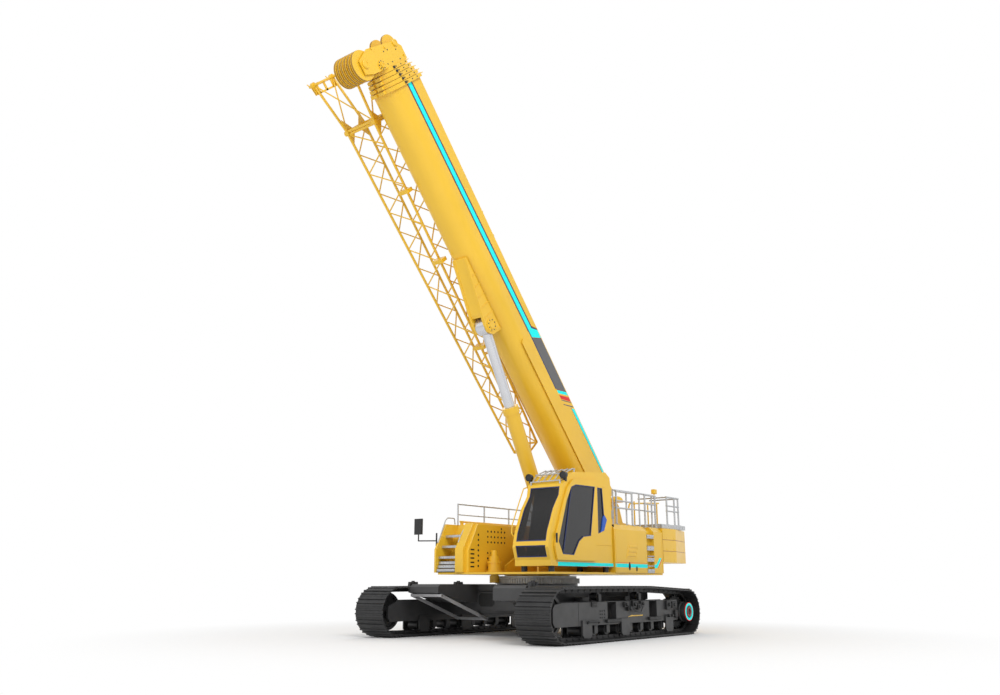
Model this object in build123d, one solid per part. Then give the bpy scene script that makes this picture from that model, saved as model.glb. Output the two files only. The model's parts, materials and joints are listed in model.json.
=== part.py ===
from build123d import *
from math import cos, sin, radians, degrees, atan2, hypot, pi
import os

# Telescopic boom crawler crane, millimetres. +X is forward, +Y is the driver's left, +Z is up.
# The origin is on the ground under the slewing axis. The boom is drawn level from its foot pin,
# with s along it and h above its axis, and is then raised to its angle.

# Tracks
track_gauge = 4000
shoe_width = 760
shoe_count = 60
shoe_thickness = 22
lug_height = 24
link_height = 70
link_width = 210
idler_x = 2455
idler_z = 500
idler_radius = 372
idler_width = 90
sprocket_x = -2240
sprocket_z = 464
sprocket_radius = 350
sprocket_teeth = 21
sprocket_width = 70
roller_radius = 95
roller_length = 250
roller_count = 10
roller_first_x = -1800
roller_last_x = 2000
carrier_radius = 75
carrier_top_z = 996
frame_width = 420
frame_front_x = 1900
frame_rear_x = -1700
frame_bottom_z = 335
frame_top_z = 715
fork_thickness = 45
drive_radius = 205
drive_flange_radius = 250

# Undercarriage body and slewing ring
body_length = 2300
body_width = 2100
body_bottom_z = 420
body_top_z = 960
beam_offset = 800
beam_length = 460
beam_top_z = 790
ring_radius = 890
ring_bore = 700
ring_bottom_z = 1040
ring_top_z = 1190
ring_teeth = 96
tooth_depth = 34
seat_radius = 850
pinion_radius = 100
pinion_gap = 8

# Upper deck, its two cheeks and the boom's foot pin
deck_bottom_z = 1220
deck_thickness = 40
deck_front_x = 1540
deck_rear_x = -2760
deck_side_gap = 20
neck_radius = 690
cheek_inner_y = 400
cheek_thickness = 45
pivot_x = -2366
pivot_z = 2712
pivot_pin_radius = 70
tail_x = -4300
pin_play = 0.1

# Boom: five nested sections
boom_angle = 48
boom_width = 744
boom_depth = 924
boom_wall = 12
section_gap = 14
section_count = 5
tube_start_s = 150
boom_head_s = 10560
foot_radius = 250
collar_length = 78
collar_gap = 8
collar_height = 55
tail_clearance = 900
tail_step = 60
stiffener_thickness = 16

# Luffing cylinder: its foot under the boom, its eye in the boom's bracket
ram_foot_x = -640
ram_foot_z = 1732
ram_eye_s = 5420
ram_eye_h = -700
barrel_radius = 160
barrel_bore = 128
barrel_length = 3340
rod_radius = 110
rod_length = 3350
eye_radius = 190
eye_half_width = 118
ram_pin_radius = 60
ear_gap = 8
ear_thickness = 45

# Jib stowed on the boom's right side
jib_centre_y = -895
jib_bottom_h = -390
jib_root_s = 10060
jib_tip_s = 2050
jib_root_width = 770
jib_tip_width = 450
jib_root_depth = 620
jib_tip_depth = 350
jib_bays = 9
jib_bore_radius = 32
chord_radius = 28
lace_radius = 15

# Cab
cab_width = 894
cab_bottom_z = 1370
cab_wall = 40
door_thickness = 38
door_gap = 7
glass_thickness = 6

# Housings and counterweight
housing_half_width = 1500
housing_bottom_z = 1260
housing_top_z = 2262
left_front_x = -710
left_rear_x = -2780
left_inner_y = 640
right_front_x = 1580
right_rear_x = -2700
right_inner_y = -640
housing_wall = 40
weight_front_x = -2800
weight_rear_x = -4450
weight_bottom_z = 1500
weight_notch_x = -3900
weight_notch_half = 470
slab_height = 252
slab_gap = 0

# Winches
main_winch_x = -3050
winch_spacing = 560
winch_z = 2110
winch_flange_radius = 255
winch_drum_radius = 190
winch_shaft_radius = 60
winch_side_gap = 12


def block(x0, x1, y0, y1, z0, z1):
    """A box between two corners."""
    return Pos((x0 + x1) / 2, (y0 + y1) / 2, (z0 + z1) / 2) * Box(abs(x1 - x0), abs(y1 - y0), abs(z1 - z0))


def side_plate(points, y0, y1):
    """A plate with its outline in X and Z, from y0 to y1."""
    outline = Plane.XZ * Polygon(*points)
    return Pos(0, y0, 0) * extrude(outline, y1 - y0, dir=(0, 1, 0))


def plan_plate(points, z0, z1):
    """A plate with its outline in X and Y, from z0 to z1."""
    return Pos(0, 0, z0) * extrude(Polygon(*points), z1 - z0, dir=(0, 0, 1))


def cross_plate(points, x0, x1):
    """A plate with its outline in Y and Z, from x0 to x1."""
    outline = Plane.YZ * Polygon(*points)
    return Pos(x0, 0, 0) * extrude(outline, x1 - x0, dir=(1, 0, 0))


def pin_y(x, z, radius, y0, y1):
    """A round bar along Y."""
    return Pos(x, (y0 + y1) / 2, z) * Rot(90, 0, 0) * Cylinder(radius, abs(y1 - y0))


def pin_x(y, z, radius, x0, x1):
    """A round bar along X."""
    return Pos((x0 + x1) / 2, y, z) * Rot(0, 90, 0) * Cylinder(radius, abs(x1 - x0))


def pin_z(x, y, radius, z0, z1):
    """A round bar along Z."""
    return Pos(x, y, (z0 + z1) / 2) * Cylinder(radius, abs(z1 - z0))


def bar(start, end, radius, sides=6):
    """A straight lattice bar between two points."""
    a = Vector(*start)
    b = Vector(*end)
    plane = Plane(origin=a, z_dir=b - a)
    return extrude(plane * RegularPolygon(radius, sides), (b - a).length, dir=(b - a).normalized())


def mirror_y(shape):
    return mirror(shape, Plane.XZ)


def joined(shapes):
    """One shape from several that touch or overlap."""
    first, *rest = shapes
    return first.fuse(*rest) if rest else first


def both_sides(shape):
    """The shape and its mirror image, left apart."""
    return [shape, mirror_y(shape)]


parts = {}

# ---------------------------------------------------------------- tracks
belt_depth = shoe_thickness + lug_height + link_height
track_y = track_gauge / 2
roller_z = roller_radius + belt_depth
carrier_z = carrier_top_z - belt_depth - carrier_radius
roller_pitch = (roller_last_x - roller_first_x) / (roller_count - 1)
roller_places = [roller_first_x + i * roller_pitch for i in range(roller_count)]
carrier_places = [-600, 900]


def belt_outline(inset):
    """Side outline of the taut track, that far inside the lug tips."""
    # x, z and radius to the lug tips of each wheel that the track bends around
    wheels = [(idler_x, idler_z, idler_radius + belt_depth), (sprocket_x, sprocket_z, sprocket_radius + belt_depth)]
    wheels += [(x, roller_z, roller_z) for x in (roller_places[0], roller_places[-1])]
    wheels += [(x, carrier_z, carrier_top_z - carrier_z) for x in carrier_places]
    return make_hull([Pos(x, z) * Edge.make_circle(r - inset) for x, z, r in wheels])


def track_loop():
    """One closed track: shoes with two lugs each, and the chain inside them."""
    plates = belt_outline(lug_height)
    path = plates.face().outer_wire()
    middle = plates.face().center()
    pitch = path.length / shoe_count
    # half of a shoe's outline: place along the pitch, and height over the plate
    half = [(0.08 * pitch, 5), (0.16 * pitch, lug_height), (0.28 * pitch, lug_height), (0.36 * pitch, -10)]
    shoe = Polygon(*[(-t, n) for t, n in reversed(half)], *half)
    shoes = []
    for i in range(shoe_count):
        here = path @ ((i + 0.5) / shoe_count)
        heading = path % ((i + 0.5) / shoe_count)
        outward = Vector(-heading.Y, heading.X)
        turn = degrees(atan2(heading.Y, heading.X))
        if outward.dot(here - middle) < 0:
            turn += 180
        shoes.append(Pos(here.X, here.Y) * Rot(0, 0, turn) * shoe)
    tread = plates + shoes - belt_outline(shoe_thickness + lug_height)
    chain = belt_outline(shoe_thickness + lug_height - 6) - belt_outline(belt_depth)
    wide = Pos(0, -shoe_width / 2, 0) * extrude(Plane.XZ * tread, shoe_width, dir=(0, 1, 0))
    narrow = Pos(0, -link_width / 2, 0) * extrude(Plane.XZ * chain, link_width, dir=(0, 1, 0))
    return wide + narrow


def sprocket():
    """Toothed rim between the chain's links, bolted to the drive's flange."""
    root = sprocket_radius - 40
    tip = sprocket_radius - 2
    step = 360 / sprocket_teeth
    points = []
    for i in range(sprocket_teeth):
        # radius and share of the step for one tooth
        for r, share in [(root, -0.38), (tip, -0.12), (tip, 0.12), (root, 0.38)]:
            a = radians((i + share) * step)
            points.append((sprocket_x + r * cos(a), sprocket_z + r * sin(a)))
    wheel = side_plate(points, -sprocket_width / 2, sprocket_width / 2)
    return wheel - pin_y(sprocket_x, sprocket_z, drive_radius + 3, -sprocket_width, sprocket_width)


def final_drive():
    """Stepped hub outside the sprocket and the motor inside it."""
    half = sprocket_width / 2
    # outer radius, near and far y of each step
    steps = [(drive_flange_radius, -half - 30, -half), (drive_radius, -half, 150), (drive_radius - 45, 150, 205),
             (drive_radius - 110, 205, 228), (drive_radius - 30, -frame_width / 2 + 50, -half - 30)]
    return joined([pin_y(sprocket_x, sprocket_z, r, y0, y1) for r, y0, y1 in steps])


def idler():
    """Front wheel: rim, thin web and a hub between the fork's arms."""
    half = idler_width / 2
    fork_y = frame_width / 2 - fork_thickness
    profile = Polygon((0, 0), (70, 0), (70, fork_y - half), (0, fork_y - half))
    wheel = pin_y(idler_x, idler_z, idler_radius - 1, -half, half)
    for y0, y1 in [(-half, -half + 28), (half - 28, half)]:
        wheel -= pin_y(idler_x, idler_z, idler_radius - 60, y0, y1) - pin_y(idler_x, idler_z, 110, y0, y1)
    return wheel + pin_y(idler_x, idler_z, 70, -fork_y, fork_y)


def track_frame():
    """Side girder with its idler fork, its drive plate and the roller guards."""
    half = frame_width / 2
    girder = side_plate(
        [(frame_rear_x, 420), (frame_rear_x + 130, frame_bottom_z), (frame_front_x - 130, frame_bottom_z),
         (frame_front_x, 400), (frame_front_x, 620), (frame_front_x - 240, frame_top_z),
         (frame_rear_x + 300, frame_top_z), (frame_rear_x, 600)], -half, half)
    for x0, x1 in [(-1050, -380), (480, 1150)]:
        girder -= block(x0, x1, half - 90, half, 430, 680)
    fork = side_plate([(frame_front_x - 60, 400), (idler_x + 60, 420), (idler_x + 110, 500), (idler_x + 60, 580),
                       (frame_front_x - 60, 620)], half - fork_thickness, half)
    arms = [fork, Pos(0, fork_thickness - 2 * half, 0) * fork]
    lug = side_plate([(frame_rear_x + 60, 400), (frame_rear_x + 60, 620), (sprocket_x, sprocket_z + drive_flange_radius),
                      (sprocket_x, sprocket_z - drive_flange_radius)], -half, -half + 50)
    drive_plate = lug + pin_y(sprocket_x, sprocket_z, drive_flange_radius, -half, -half + 50)
    frame = joined([girder, *arms, drive_plate])
    # first and last x of each guard that hangs beside the rollers
    guards = [(-1560, -640), (-320, 620), (940, 1740)]
    for x0, x1 in guards:
        guard = side_plate([(x0, frame_bottom_z), (x0 + 60, 240), (x0 + 170, 185), (x1 - 170, 185), (x1 - 60, 240),
                            (x1, frame_bottom_z)], half - 30, half)
        frame += guard
    return frame


def rollers():
    """Track rollers under the girder and carrier rollers on it, each with its saddles."""
    shapes = []
    half = roller_length / 2
    for x in roller_places:
        if not frame_rear_x + 130 < x < frame_front_x - 130:
            continue
        body = pin_y(x, roller_z, roller_radius - 1, -half, half)
        saddle = block(x - 55, x + 55, half, half + 40, roller_z - 55, frame_bottom_z)
        shapes.append(joined([body, saddle, mirror_y(saddle)]))
    for x in carrier_places:
        body = pin_y(x, carrier_z, carrier_radius - 1, -half + 60, half - 60)
        post = block(x - 45, x + 45, -half + 20, -half + 60, frame_top_z, carrier_z + 45)
        shapes.append(joined([body, post, mirror_y(post)]))
    return shapes


print("tracks")
loop = track_loop()
girder = track_frame()
for name, side in [("left", 1), ("right", -1)]:
    parts["track_" + name] = Pos(0, side * track_y, 0) * loop
    parts["track_frame_" + name] = Pos(0, side * track_y, 0) * (girder if side > 0 else mirror_y(girder))
left_rollers = [Pos(0, track_y, 0) * s for s in rollers()]
parts["track_rollers"] = left_rollers + [mirror_y(s) for s in left_rollers]
parts["sprockets"] = both_sides(Pos(0, track_y, 0) * sprocket())
parts["final_drives"] = both_sides(Pos(0, track_y, 0) * final_drive())
parts["idlers"] = both_sides(Pos(0, track_y, 0) * idler())


# ---------------------------------------------------------------- undercarriage body
def car_body():
    """Box body on two cross beams, with the seat of the slewing ring."""
    x = body_length / 2
    core = side_plate([(-x, 520), (-x + 160, body_bottom_z), (x - 160, body_bottom_z), (x, 520), (x, 880),
                       (x - 110, body_top_z), (-x + 110, body_top_z), (-x, 880)], -body_width / 2, body_width / 2)
    frame_y = track_y - frame_width / 2
    beams = [block(c - beam_length / 2, c + beam_length / 2, -frame_y, frame_y, body_bottom_z, beam_top_z)
             for c in (-beam_offset, beam_offset)]
    seat = pin_z(0, 0, seat_radius, body_top_z, ring_bottom_z)
    return joined([core, *beams, seat])


def slewing_ring():
    """Outer ring with teeth all round."""
    root = ring_radius - tooth_depth
    step = 360 / ring_teeth
    points = []
    for i in range(ring_teeth):
        # radius and share of the step for one tooth
        for r, share in [(root, -0.32), (ring_radius, -0.14), (ring_radius, 0.14), (root, 0.32)]:
            a = radians((i + share) * step)
            points.append((r * cos(a), r * sin(a)))
    gear = plan_plate(points, ring_bottom_z, ring_top_z - 45)
    race = pin_z(0, 0, root - 30, ring_top_z - 45, ring_top_z)
    return gear + race - pin_z(0, 0, ring_bore, ring_bottom_z, ring_top_z)


print("undercarriage")
parts["car_body"] = car_body()
parts["slewing_ring"] = slewing_ring()


# ---------------------------------------------------------------- upper deck
deck_top_z = deck_bottom_z + deck_thickness
cheek_outer_y = cheek_inner_y + cheek_thickness
ram_lug_inner_y = barrel_radius + ear_gap
aux_winch_x = main_winch_x - winch_spacing
drive_spot_y = -440
drive_spot_x = ((ring_radius + pinion_radius + pinion_gap) ** 2 - drive_spot_y ** 2) ** 0.5


def turntable():
    """Deck plate on a neck inside the ring, with the two cheeks that carry boom, winches and ram."""
    x0, x1, w = deck_rear_x, deck_front_x, housing_half_width - deck_side_gap
    deck = plan_plate([(x0, -w), (x1 - 60, -w), (x1, -w + 60), (x1, w - 60), (x1 - 60, w), (x0, w)],
                      deck_bottom_z, deck_top_z)
    neck = pin_z(0, 0, neck_radius, ring_bottom_z + 10, deck_bottom_z)
    # x and z round the cheek, from the front along the top to the tail
    cheek = side_plate(
        [(560, deck_bottom_z), (560, 1400), (-350, 1860), (-1500, 2190), (-2060, 2820), (-2200, 2930), (-2530, 2930),
         (-2680, 2810), (-2840, 2420), (weight_notch_x + 40, 2330), (weight_notch_x + 20, 1800),
         (weight_notch_x + 20, weight_bottom_z), (tail_x, weight_bottom_z), (tail_x, deck_bottom_z + 60),
         (deck_rear_x, deck_bottom_z)], cheek_inner_y, cheek_outer_y)
    cross = [block(-1760, -1700, -cheek_inner_y, cheek_inner_y, deck_top_z, 1900),
             block(weight_notch_x - 60, weight_notch_x, -cheek_inner_y, cheek_inner_y, deck_top_z, weight_bottom_z),
             block(tail_x, tail_x + 60, -cheek_inner_y, cheek_inner_y, deck_bottom_z + 60, weight_bottom_z)]
    lug = side_plate([(ram_foot_x - 330, deck_top_z), (ram_foot_x - 150, ram_foot_z + 60), (ram_foot_x - 60, ram_foot_z + 150),
                      (ram_foot_x + 60, ram_foot_z + 150), (ram_foot_x + 150, ram_foot_z + 60),
                      (ram_foot_x + 330, deck_top_z)], ram_lug_inner_y, ram_lug_inner_y + ear_thickness)
    lug -= pin_y(ram_foot_x, ram_foot_z, ram_pin_radius, 0, cheek_outer_y)
    shape = joined([deck, neck, cheek, mirror_y(cheek), *cross, lug, mirror_y(lug)])
    shape += pin_y(pivot_x, pivot_z, pivot_pin_radius, -cheek_outer_y - 40, cheek_outer_y + 40)
    for x in (main_winch_x, aux_winch_x):
        shape -= pin_y(x, winch_z, winch_shaft_radius + pin_play, -cheek_outer_y, cheek_outer_y)
    return shape - pin_z(drive_spot_x, drive_spot_y, 120, deck_bottom_z, deck_top_z)


def slew_drive():
    """Stepped reducer standing on the deck, its pinion beside the ring's teeth below."""
    # radius, lower and upper z of each step
    steps = [(pinion_radius, ring_bottom_z + 15, deck_bottom_z - 20), (80, deck_bottom_z - 20, deck_top_z),
             (165, deck_top_z, deck_top_z + 40), (135, deck_top_z + 40, deck_top_z + 190),
             (155, deck_top_z + 190, deck_top_z + 225), (110, deck_top_z + 225, deck_top_z + 330),
             (70, deck_top_z + 330, deck_top_z + 450)]
    return joined([pin_z(drive_spot_x, drive_spot_y, r, z0, z1) for r, z0, z1 in steps])


def winch(x):
    """A flanged rope drum and its shaft through both cheeks."""
    side = cheek_inner_y - winch_side_gap
    flange = 30
    return joined([pin_y(x, winch_z, winch_drum_radius, -side, side),
                   pin_y(x, winch_z, winch_flange_radius, -side, -side + flange),
                   pin_y(x, winch_z, winch_flange_radius, side - flange, side),
                   pin_y(x, winch_z, winch_shaft_radius, -cheek_outer_y - 15, cheek_outer_y + 15)])


def counterweight_slab(level):
    """One slab of the stack: bevelled rear corners and a notch round the cheeks."""
    w = housing_half_width
    z0 = weight_bottom_z + level * (slab_height + slab_gap)
    slab = plan_plate([(weight_front_x, -w), (-3430, -w), (weight_rear_x + 60, -w + 260), (weight_rear_x, -w + 420),
                       (weight_rear_x, w - 420), (weight_rear_x + 60, w - 260), (-3430, w), (weight_front_x, w)],
                      z0, z0 + slab_height)
    return slab - block(weight_notch_x, weight_front_x, -weight_notch_half, weight_notch_half, z0, z0 + slab_height)


print("deck")
parts["turntable"] = turntable()
parts["slew_drive"] = slew_drive()
parts["main_winch"] = winch(main_winch_x)
parts["aux_winch"] = winch(aux_winch_x)
for level, name in enumerate(["bottom", "middle", "top"]):
    parts["counterweight_" + name] = counterweight_slab(level)


# ---------------------------------------------------------------- housings
def shell_box(x0, x1, y0, y1, z0, z1, wall):
    """A box open at its bottom, with walls and a roof that thick."""
    return block(x0, x1, y0, y1, z0, z1) - block(x0 + wall, x1 - wall, y0 + wall, y1 - wall, z0, z1 - wall)


def left_housing():
    """Engine housing behind the cab, with its ladder niche."""
    body = shell_box(left_rear_x, left_front_x, left_inner_y, housing_half_width, housing_bottom_z, housing_top_z,
                     housing_wall)
    body += block(left_rear_x, left_front_x, left_inner_y, left_inner_y + housing_wall, housing_bottom_z, housing_top_z)
    return body - block(-2390, -2080, housing_half_width - 30, housing_half_width, housing_bottom_z + 10, housing_top_z - 140)


def right_housing():
    """Tank and pump housing along the right side, sloped at its front."""
    y0, y1 = -housing_half_width, right_inner_y
    outer = side_plate([(right_rear_x, housing_bottom_z), (right_front_x, housing_bottom_z), (right_front_x, 1730),
                        (1260, housing_top_z), (right_rear_x, housing_top_z)], y0, y1)
    t = housing_wall
    inner = side_plate([(right_rear_x + t, housing_bottom_z), (right_front_x - t, housing_bottom_z),
                        (right_front_x - t, 1715), (1240, housing_top_z - t), (right_rear_x + t, housing_top_z - t)],
                       y0 + t, y1 - t)
    return outer - inner


print("housings")
parts["left_housing"] = left_housing()
parts["right_housing"] = right_housing()
parts["engine_block"] = block(-2500, -1100, 760, 1300, deck_top_z, 2050)
treads_left = [block(-2380, -2090, housing_half_width - 30, housing_half_width, z, z + 25) for z in (1400, 1610, 1820, 2030)]
treads_right = [block(-900, -600, -housing_half_width - 140, -housing_half_width, z, z + 25) for z in (1400, 1650, 1900)]
parts["steps"] = treads_left + treads_right


def handrails():
    """Rails over both housings: posts and a top rail."""
    shapes = []
    # y, height, first and last x, and number of posts
    for y, top, x0, x1, count in [(1300, 3000, -2700, -1000, 4), (-1450, 2410 + 300, -1800, 900, 4)]:
        posts = [bar((x0 + i * (x1 - x0) / (count - 1), y, housing_top_z),
                     (x0 + i * (x1 - x0) / (count - 1), y, top), 18) for i in range(count)]
        rail = bar((x0, y, top), (x1, y, top), 18)
        mid = bar((x0, y, (top + housing_top_z) / 2), (x1, y, (top + housing_top_z) / 2), 14)
        shapes.append(joined([rail, mid, *posts]))
    return shapes


parts["handrails"] = handrails()
mirror_post_y = -housing_half_width - 18
parts["mirror"] = joined([bar((1500, mirror_post_y, 1500), (1500, mirror_post_y, 2070), 18),
                          bar((1500, mirror_post_y, 1910), (1700, -1850, 1910), 14),
                          bar((1700, -1850, 1900), (1700, -1850, 2060), 14),
                          block(1680, 1720, -1960, -1750, 2040, 2370)])


# ---------------------------------------------------------------- cab
cab_left_y = housing_half_width
cab_right_y = cab_left_y - cab_width
# x and z of the cab's side, from the front foot over the roof to the rear foot
cab_side = [(1570, cab_bottom_z), (1570, 1480), (1650, 1720), (1580, 2010), (1370, 2460), (1170, 2730), (1120, 2950),
            (930, 3140), (740, 3210), (-480, 3310), (-640, 3210), (-660, 3090), (-690, cab_bottom_z)]
door_glass_side = [(890, 2900), (730, 2960), (20, 2970), (210, 1970), (480, 1940), (640, 1850), (840, 1580), (1220, 1590),
                   (1360, 1830), (1250, 2130), (1060, 2620)]
quarter_side = [(-140, 2970), (-330, 2970), (-380, 2430), (-490, 2330), (-370, 2100), (-140, 2030)]
door_side = [(1400, 1480), (1480, 1740), (1410, 2010), (1170, 2560), (1010, 2880), (840, 3040), (730, 3070), (-80, 3110),
             (60, 1480)]


def scaled(points, factor):
    """The outline moved towards or away from its own middle."""
    cx = sum(p[0] for p in points) / len(points)
    cz = sum(p[1] for p in points) / len(points)
    return [(cx + (x - cx) * factor, cz + (z - cz) * factor) for x, z in points]


def cab_shell():
    """Hollow cab with its windscreen, side, rear and roof windows cut and its doorway open."""
    t = cab_wall
    skin_y = cab_left_y - door_thickness - door_gap
    outer = side_plate(cab_side, cab_right_y, skin_y)
    cavity = [(1570 - t, cab_bottom_z + t), (1570 - t, 1490), (1605, 1720), (1540, 1995), (1333, 2440), (1130, 2715),
              (1080, 2930), (912, 3100), (730, 3168), (-470, 3265), (-600, 3190), (-618, 3085), (-648, cab_bottom_z + t)]
    inner = side_plate(cavity, cab_right_y + t, skin_y - t)
    shell = outer - inner
    shell -= side_plate(scaled(door_side, 0.93), skin_y - t, skin_y)
    shell -= side_plate(quarter_side, skin_y - t, skin_y)
    shell -= side_plate(scaled(door_glass_side, 1.0), cab_right_y, cab_right_y + t)
    shell -= block(1300, 1700, cab_right_y + 70, skin_y - 70, 1830, 2400)
    shell -= block(1000, 1500, cab_right_y + 70, skin_y - 70, 2400, 2900)
    shell -= block(1500, 1700, cab_right_y + 70, skin_y - 70, 1530, 1750)
    shell -= block(-100, 600, cab_right_y + 120, skin_y - 120, 3150, 3350)
    shell -= block(-700, -600, cab_right_y + 120, skin_y - 120, 2300, 2950)
    return shell


def cab_door():
    door = side_plate(door_side, cab_left_y - door_thickness, cab_left_y)
    return door - side_plate(door_glass_side, cab_left_y - door_thickness, cab_left_y)


print("cab")
parts["cab_shell"] = cab_shell()
parts["cab_door"] = cab_door()
parts["door_glass"] = side_plate(door_glass_side, cab_left_y - door_thickness / 2 - glass_thickness / 2,
                                 cab_left_y - door_thickness / 2 + glass_thickness / 2)
seat_y = (cab_left_y + cab_right_y) / 2
parts["cab_seat"] = joined([block(-200, 300, seat_y - 240, seat_y + 240, 1750, 1880),
                            block(-330, -200, seat_y - 230, seat_y + 230, 1800, 2500),
                            block(-120, 220, seat_y - 180, seat_y + 180, cab_bottom_z + cab_wall, 1750)])
parts["cab_mounts"] = [pin_z(x, y, 60, deck_top_z, cab_bottom_z) for x in (-560, 1400)
                       for y in (cab_right_y + 100, cab_left_y - 150)]


# ---------------------------------------------------------------- boom
def section_outline(index):
    """Outer outline of one section in Y and h: flat top and sides, rounded bottom."""
    step = index * (boom_wall + section_gap)
    width = boom_width - 2 * step
    depth = boom_depth - 2 * step
    outline = Plane.YZ * Rectangle(width, depth)
    low = outline.vertices().sort_by(Axis.Z)[:2]
    high = outline.vertices().sort_by(Axis.Z)[2:]
    outline = fillet(low, width * 0.46)
    high = outline.vertices().sort_by(Axis.Z)[-2:]
    return fillet(high, 40)


def section_shell(index, start, end, extra=0):
    """One boom section as a tube of even wall."""
    outer = section_outline(index)
    outer_tube = Pos(start, 0, 0) * extrude(outer, end - start, dir=(1, 0, 0))
    inner = offset(outer, -boom_wall)
    inner_tube = Pos(start, 0, 0) * extrude(inner, end - start, dir=(1, 0, 0))
    return outer_tube - inner_tube


def collar(index, start):
    """The flange round one section's head."""
    outer = offset(section_outline(index), collar_height)
    hole = offset(section_outline(index), -boom_wall)
    ring = extrude(outer, collar_length, dir=(1, 0, 0)) - extrude(hole, collar_length, dir=(1, 0, 0))
    return Pos(start, 0, 0) * ring


raise_boom = Pos(pivot_x, 0, pivot_z) * Rot(0, -boom_angle, 0)


def base_section():
    """The base section with its foot plates, side stiffeners and head collar."""
    tube = section_shell(0, tube_start_s, boom_head_s)
    half = boom_width / 2
    foot = side_plate([(0, foot_radius), (900, boom_depth / 2 - 60), (900, -boom_depth / 2 + 260), (0, -foot_radius)],
                      half - 45, half)
    foot += pin_y(0, 0, foot_radius, half - 45, half)
    foot = foot - pin_y(0, 0, pivot_pin_radius + pin_play, 0, boom_width)
    stiffener = side_plate([(1100, -240), (4700, -280), (4750, -200), (4700, -80), (1100, -60)], half,
                           half + stiffener_thickness)
    extras = [foot, mirror_y(foot), stiffener, mirror_y(stiffener), collar(0, boom_head_s - collar_length)]
    return joined([tube, *extras])


def inner_section(index):
    """One telescoping section with its head collar outside the one before."""
    start = tail_clearance + index * tail_step
    head = boom_head_s + index * (collar_length + collar_gap)
    return section_shell(index, start, head) + collar(index, head - collar_length)


print("boom")
parts["boom_section_1"] = raise_boom * base_section()
for index in range(1, section_count):
    parts["boom_section_" + str(index + 1)] = raise_boom * inner_section(index)
last_s = boom_head_s + (section_count - 1) * (collar_length + collar_gap)


def boom_head():
    """Two side plates with the axles of the head sheaves."""
    plate = side_plate([(last_s, 420), (last_s + 260, 420), (last_s + 400, 260), (last_s + 470, -620), (last_s + 330, -960),
                        (last_s + 60, -960), (last_s, -700)], 270, 300)
    pins = [pin_y(last_s + 360, 250, 45, -300, 300), pin_y(last_s + 230, -850, 50, -300, 300)]
    head = joined([plate, mirror_y(plate), *pins])
    return head - pin_y(last_s + 90, -420, jib_bore_radius, -400, 400)


def head_sheaves():
    shapes = []
    for i in range(6):
        y = -225 + i * 90
        shapes.append(pin_y(last_s + 230, -850, 290, y - 28, y + 28) - pin_y(last_s + 230, -850, 51, y - 28, y + 28))
    for y in (-150, 150):
        shapes.append(pin_y(last_s + 360, 250, 210, y - 28, y + 28) - pin_y(last_s + 360, 250, 46, y - 28, y + 28))
    return shapes


parts["boom_head"] = raise_boom * boom_head()
parts["head_sheaves"] = [raise_boom * s for s in head_sheaves()]


def ram_bracket():
    """Bracket under the boom: two ears for the cylinder's rod eye, faired into the bottom."""
    inner = eye_half_width + ear_gap
    ear = side_plate([(ram_eye_s - 230, -boom_depth / 2), (ram_eye_s - 190, ram_eye_h - 60), (ram_eye_s - 60, ram_eye_h - 190),
                      (ram_eye_s + 120, ram_eye_h - 190), (ram_eye_s + 1500, -boom_depth / 2 - 60),
                      (ram_eye_s + 1500, -boom_depth / 2)], inner, inner + ear_thickness)
    web = side_plate([(ram_eye_s + 260, -boom_depth / 2), (ram_eye_s + 260, ram_eye_h - 120), (ram_eye_s + 330, ram_eye_h - 120),
                      (ram_eye_s + 1500, -boom_depth / 2 - 50), (ram_eye_s + 1500, -boom_depth / 2)], -inner, inner)
    shape = joined([ear, mirror_y(ear), web])
    return shape + pin_y(ram_eye_s, ram_eye_h, ram_pin_radius, -inner - ear_thickness - 20, inner + ear_thickness + 20)


parts["ram_bracket"] = raise_boom * ram_bracket()


# ---------------------------------------------------------------- luffing cylinder
eye_x = pivot_x + ram_eye_s * cos(radians(boom_angle)) - ram_eye_h * sin(radians(boom_angle))
eye_z = pivot_z + ram_eye_s * sin(radians(boom_angle)) + ram_eye_h * cos(radians(boom_angle))
ram_angle = degrees(atan2(eye_z - ram_foot_z, eye_x - ram_foot_x))
ram_length = hypot(eye_x - ram_foot_x, eye_z - ram_foot_z)
raise_ram = Pos(ram_foot_x, 0, ram_foot_z) * Rot(0, -ram_angle, 0)
print("ram angle", ram_angle, "length", ram_length)


def ram_barrel():
    """Barrel with its foot eye, drawn level from the foot pin."""
    eye = pin_y(0, 0, eye_radius - 20, -barrel_radius, barrel_radius) - pin_y(0, 0, ram_pin_radius, -400, 400)
    body = pin_x(0, 0, barrel_radius, 120, barrel_length) - pin_x(0, 0, barrel_bore, 210, barrel_length - 130)
    body -= pin_x(0, 0, rod_radius + pin_play, 210, barrel_length)
    body -= pin_y(0, 0, ram_pin_radius, -400, 400)
    gland = pin_x(0, 0, barrel_radius + 20, barrel_length - 150, barrel_length)
    gland -= pin_x(0, 0, rod_radius + pin_play, barrel_length - 150, barrel_length)
    return joined([eye, body, gland])


def ram_rod():
    """Rod and its eye on the bracket's pin."""
    rod = pin_x(0, 0, rod_radius, ram_length - rod_length, ram_length - 100)
    eye = pin_y(ram_length, 0, eye_radius, -eye_half_width, eye_half_width)
    return rod + eye - pin_y(ram_length, 0, ram_pin_radius + pin_play, -400, 400)


parts["ram_barrel"] = raise_ram * ram_barrel()
parts["ram_rod"] = raise_ram * ram_rod()


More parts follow.
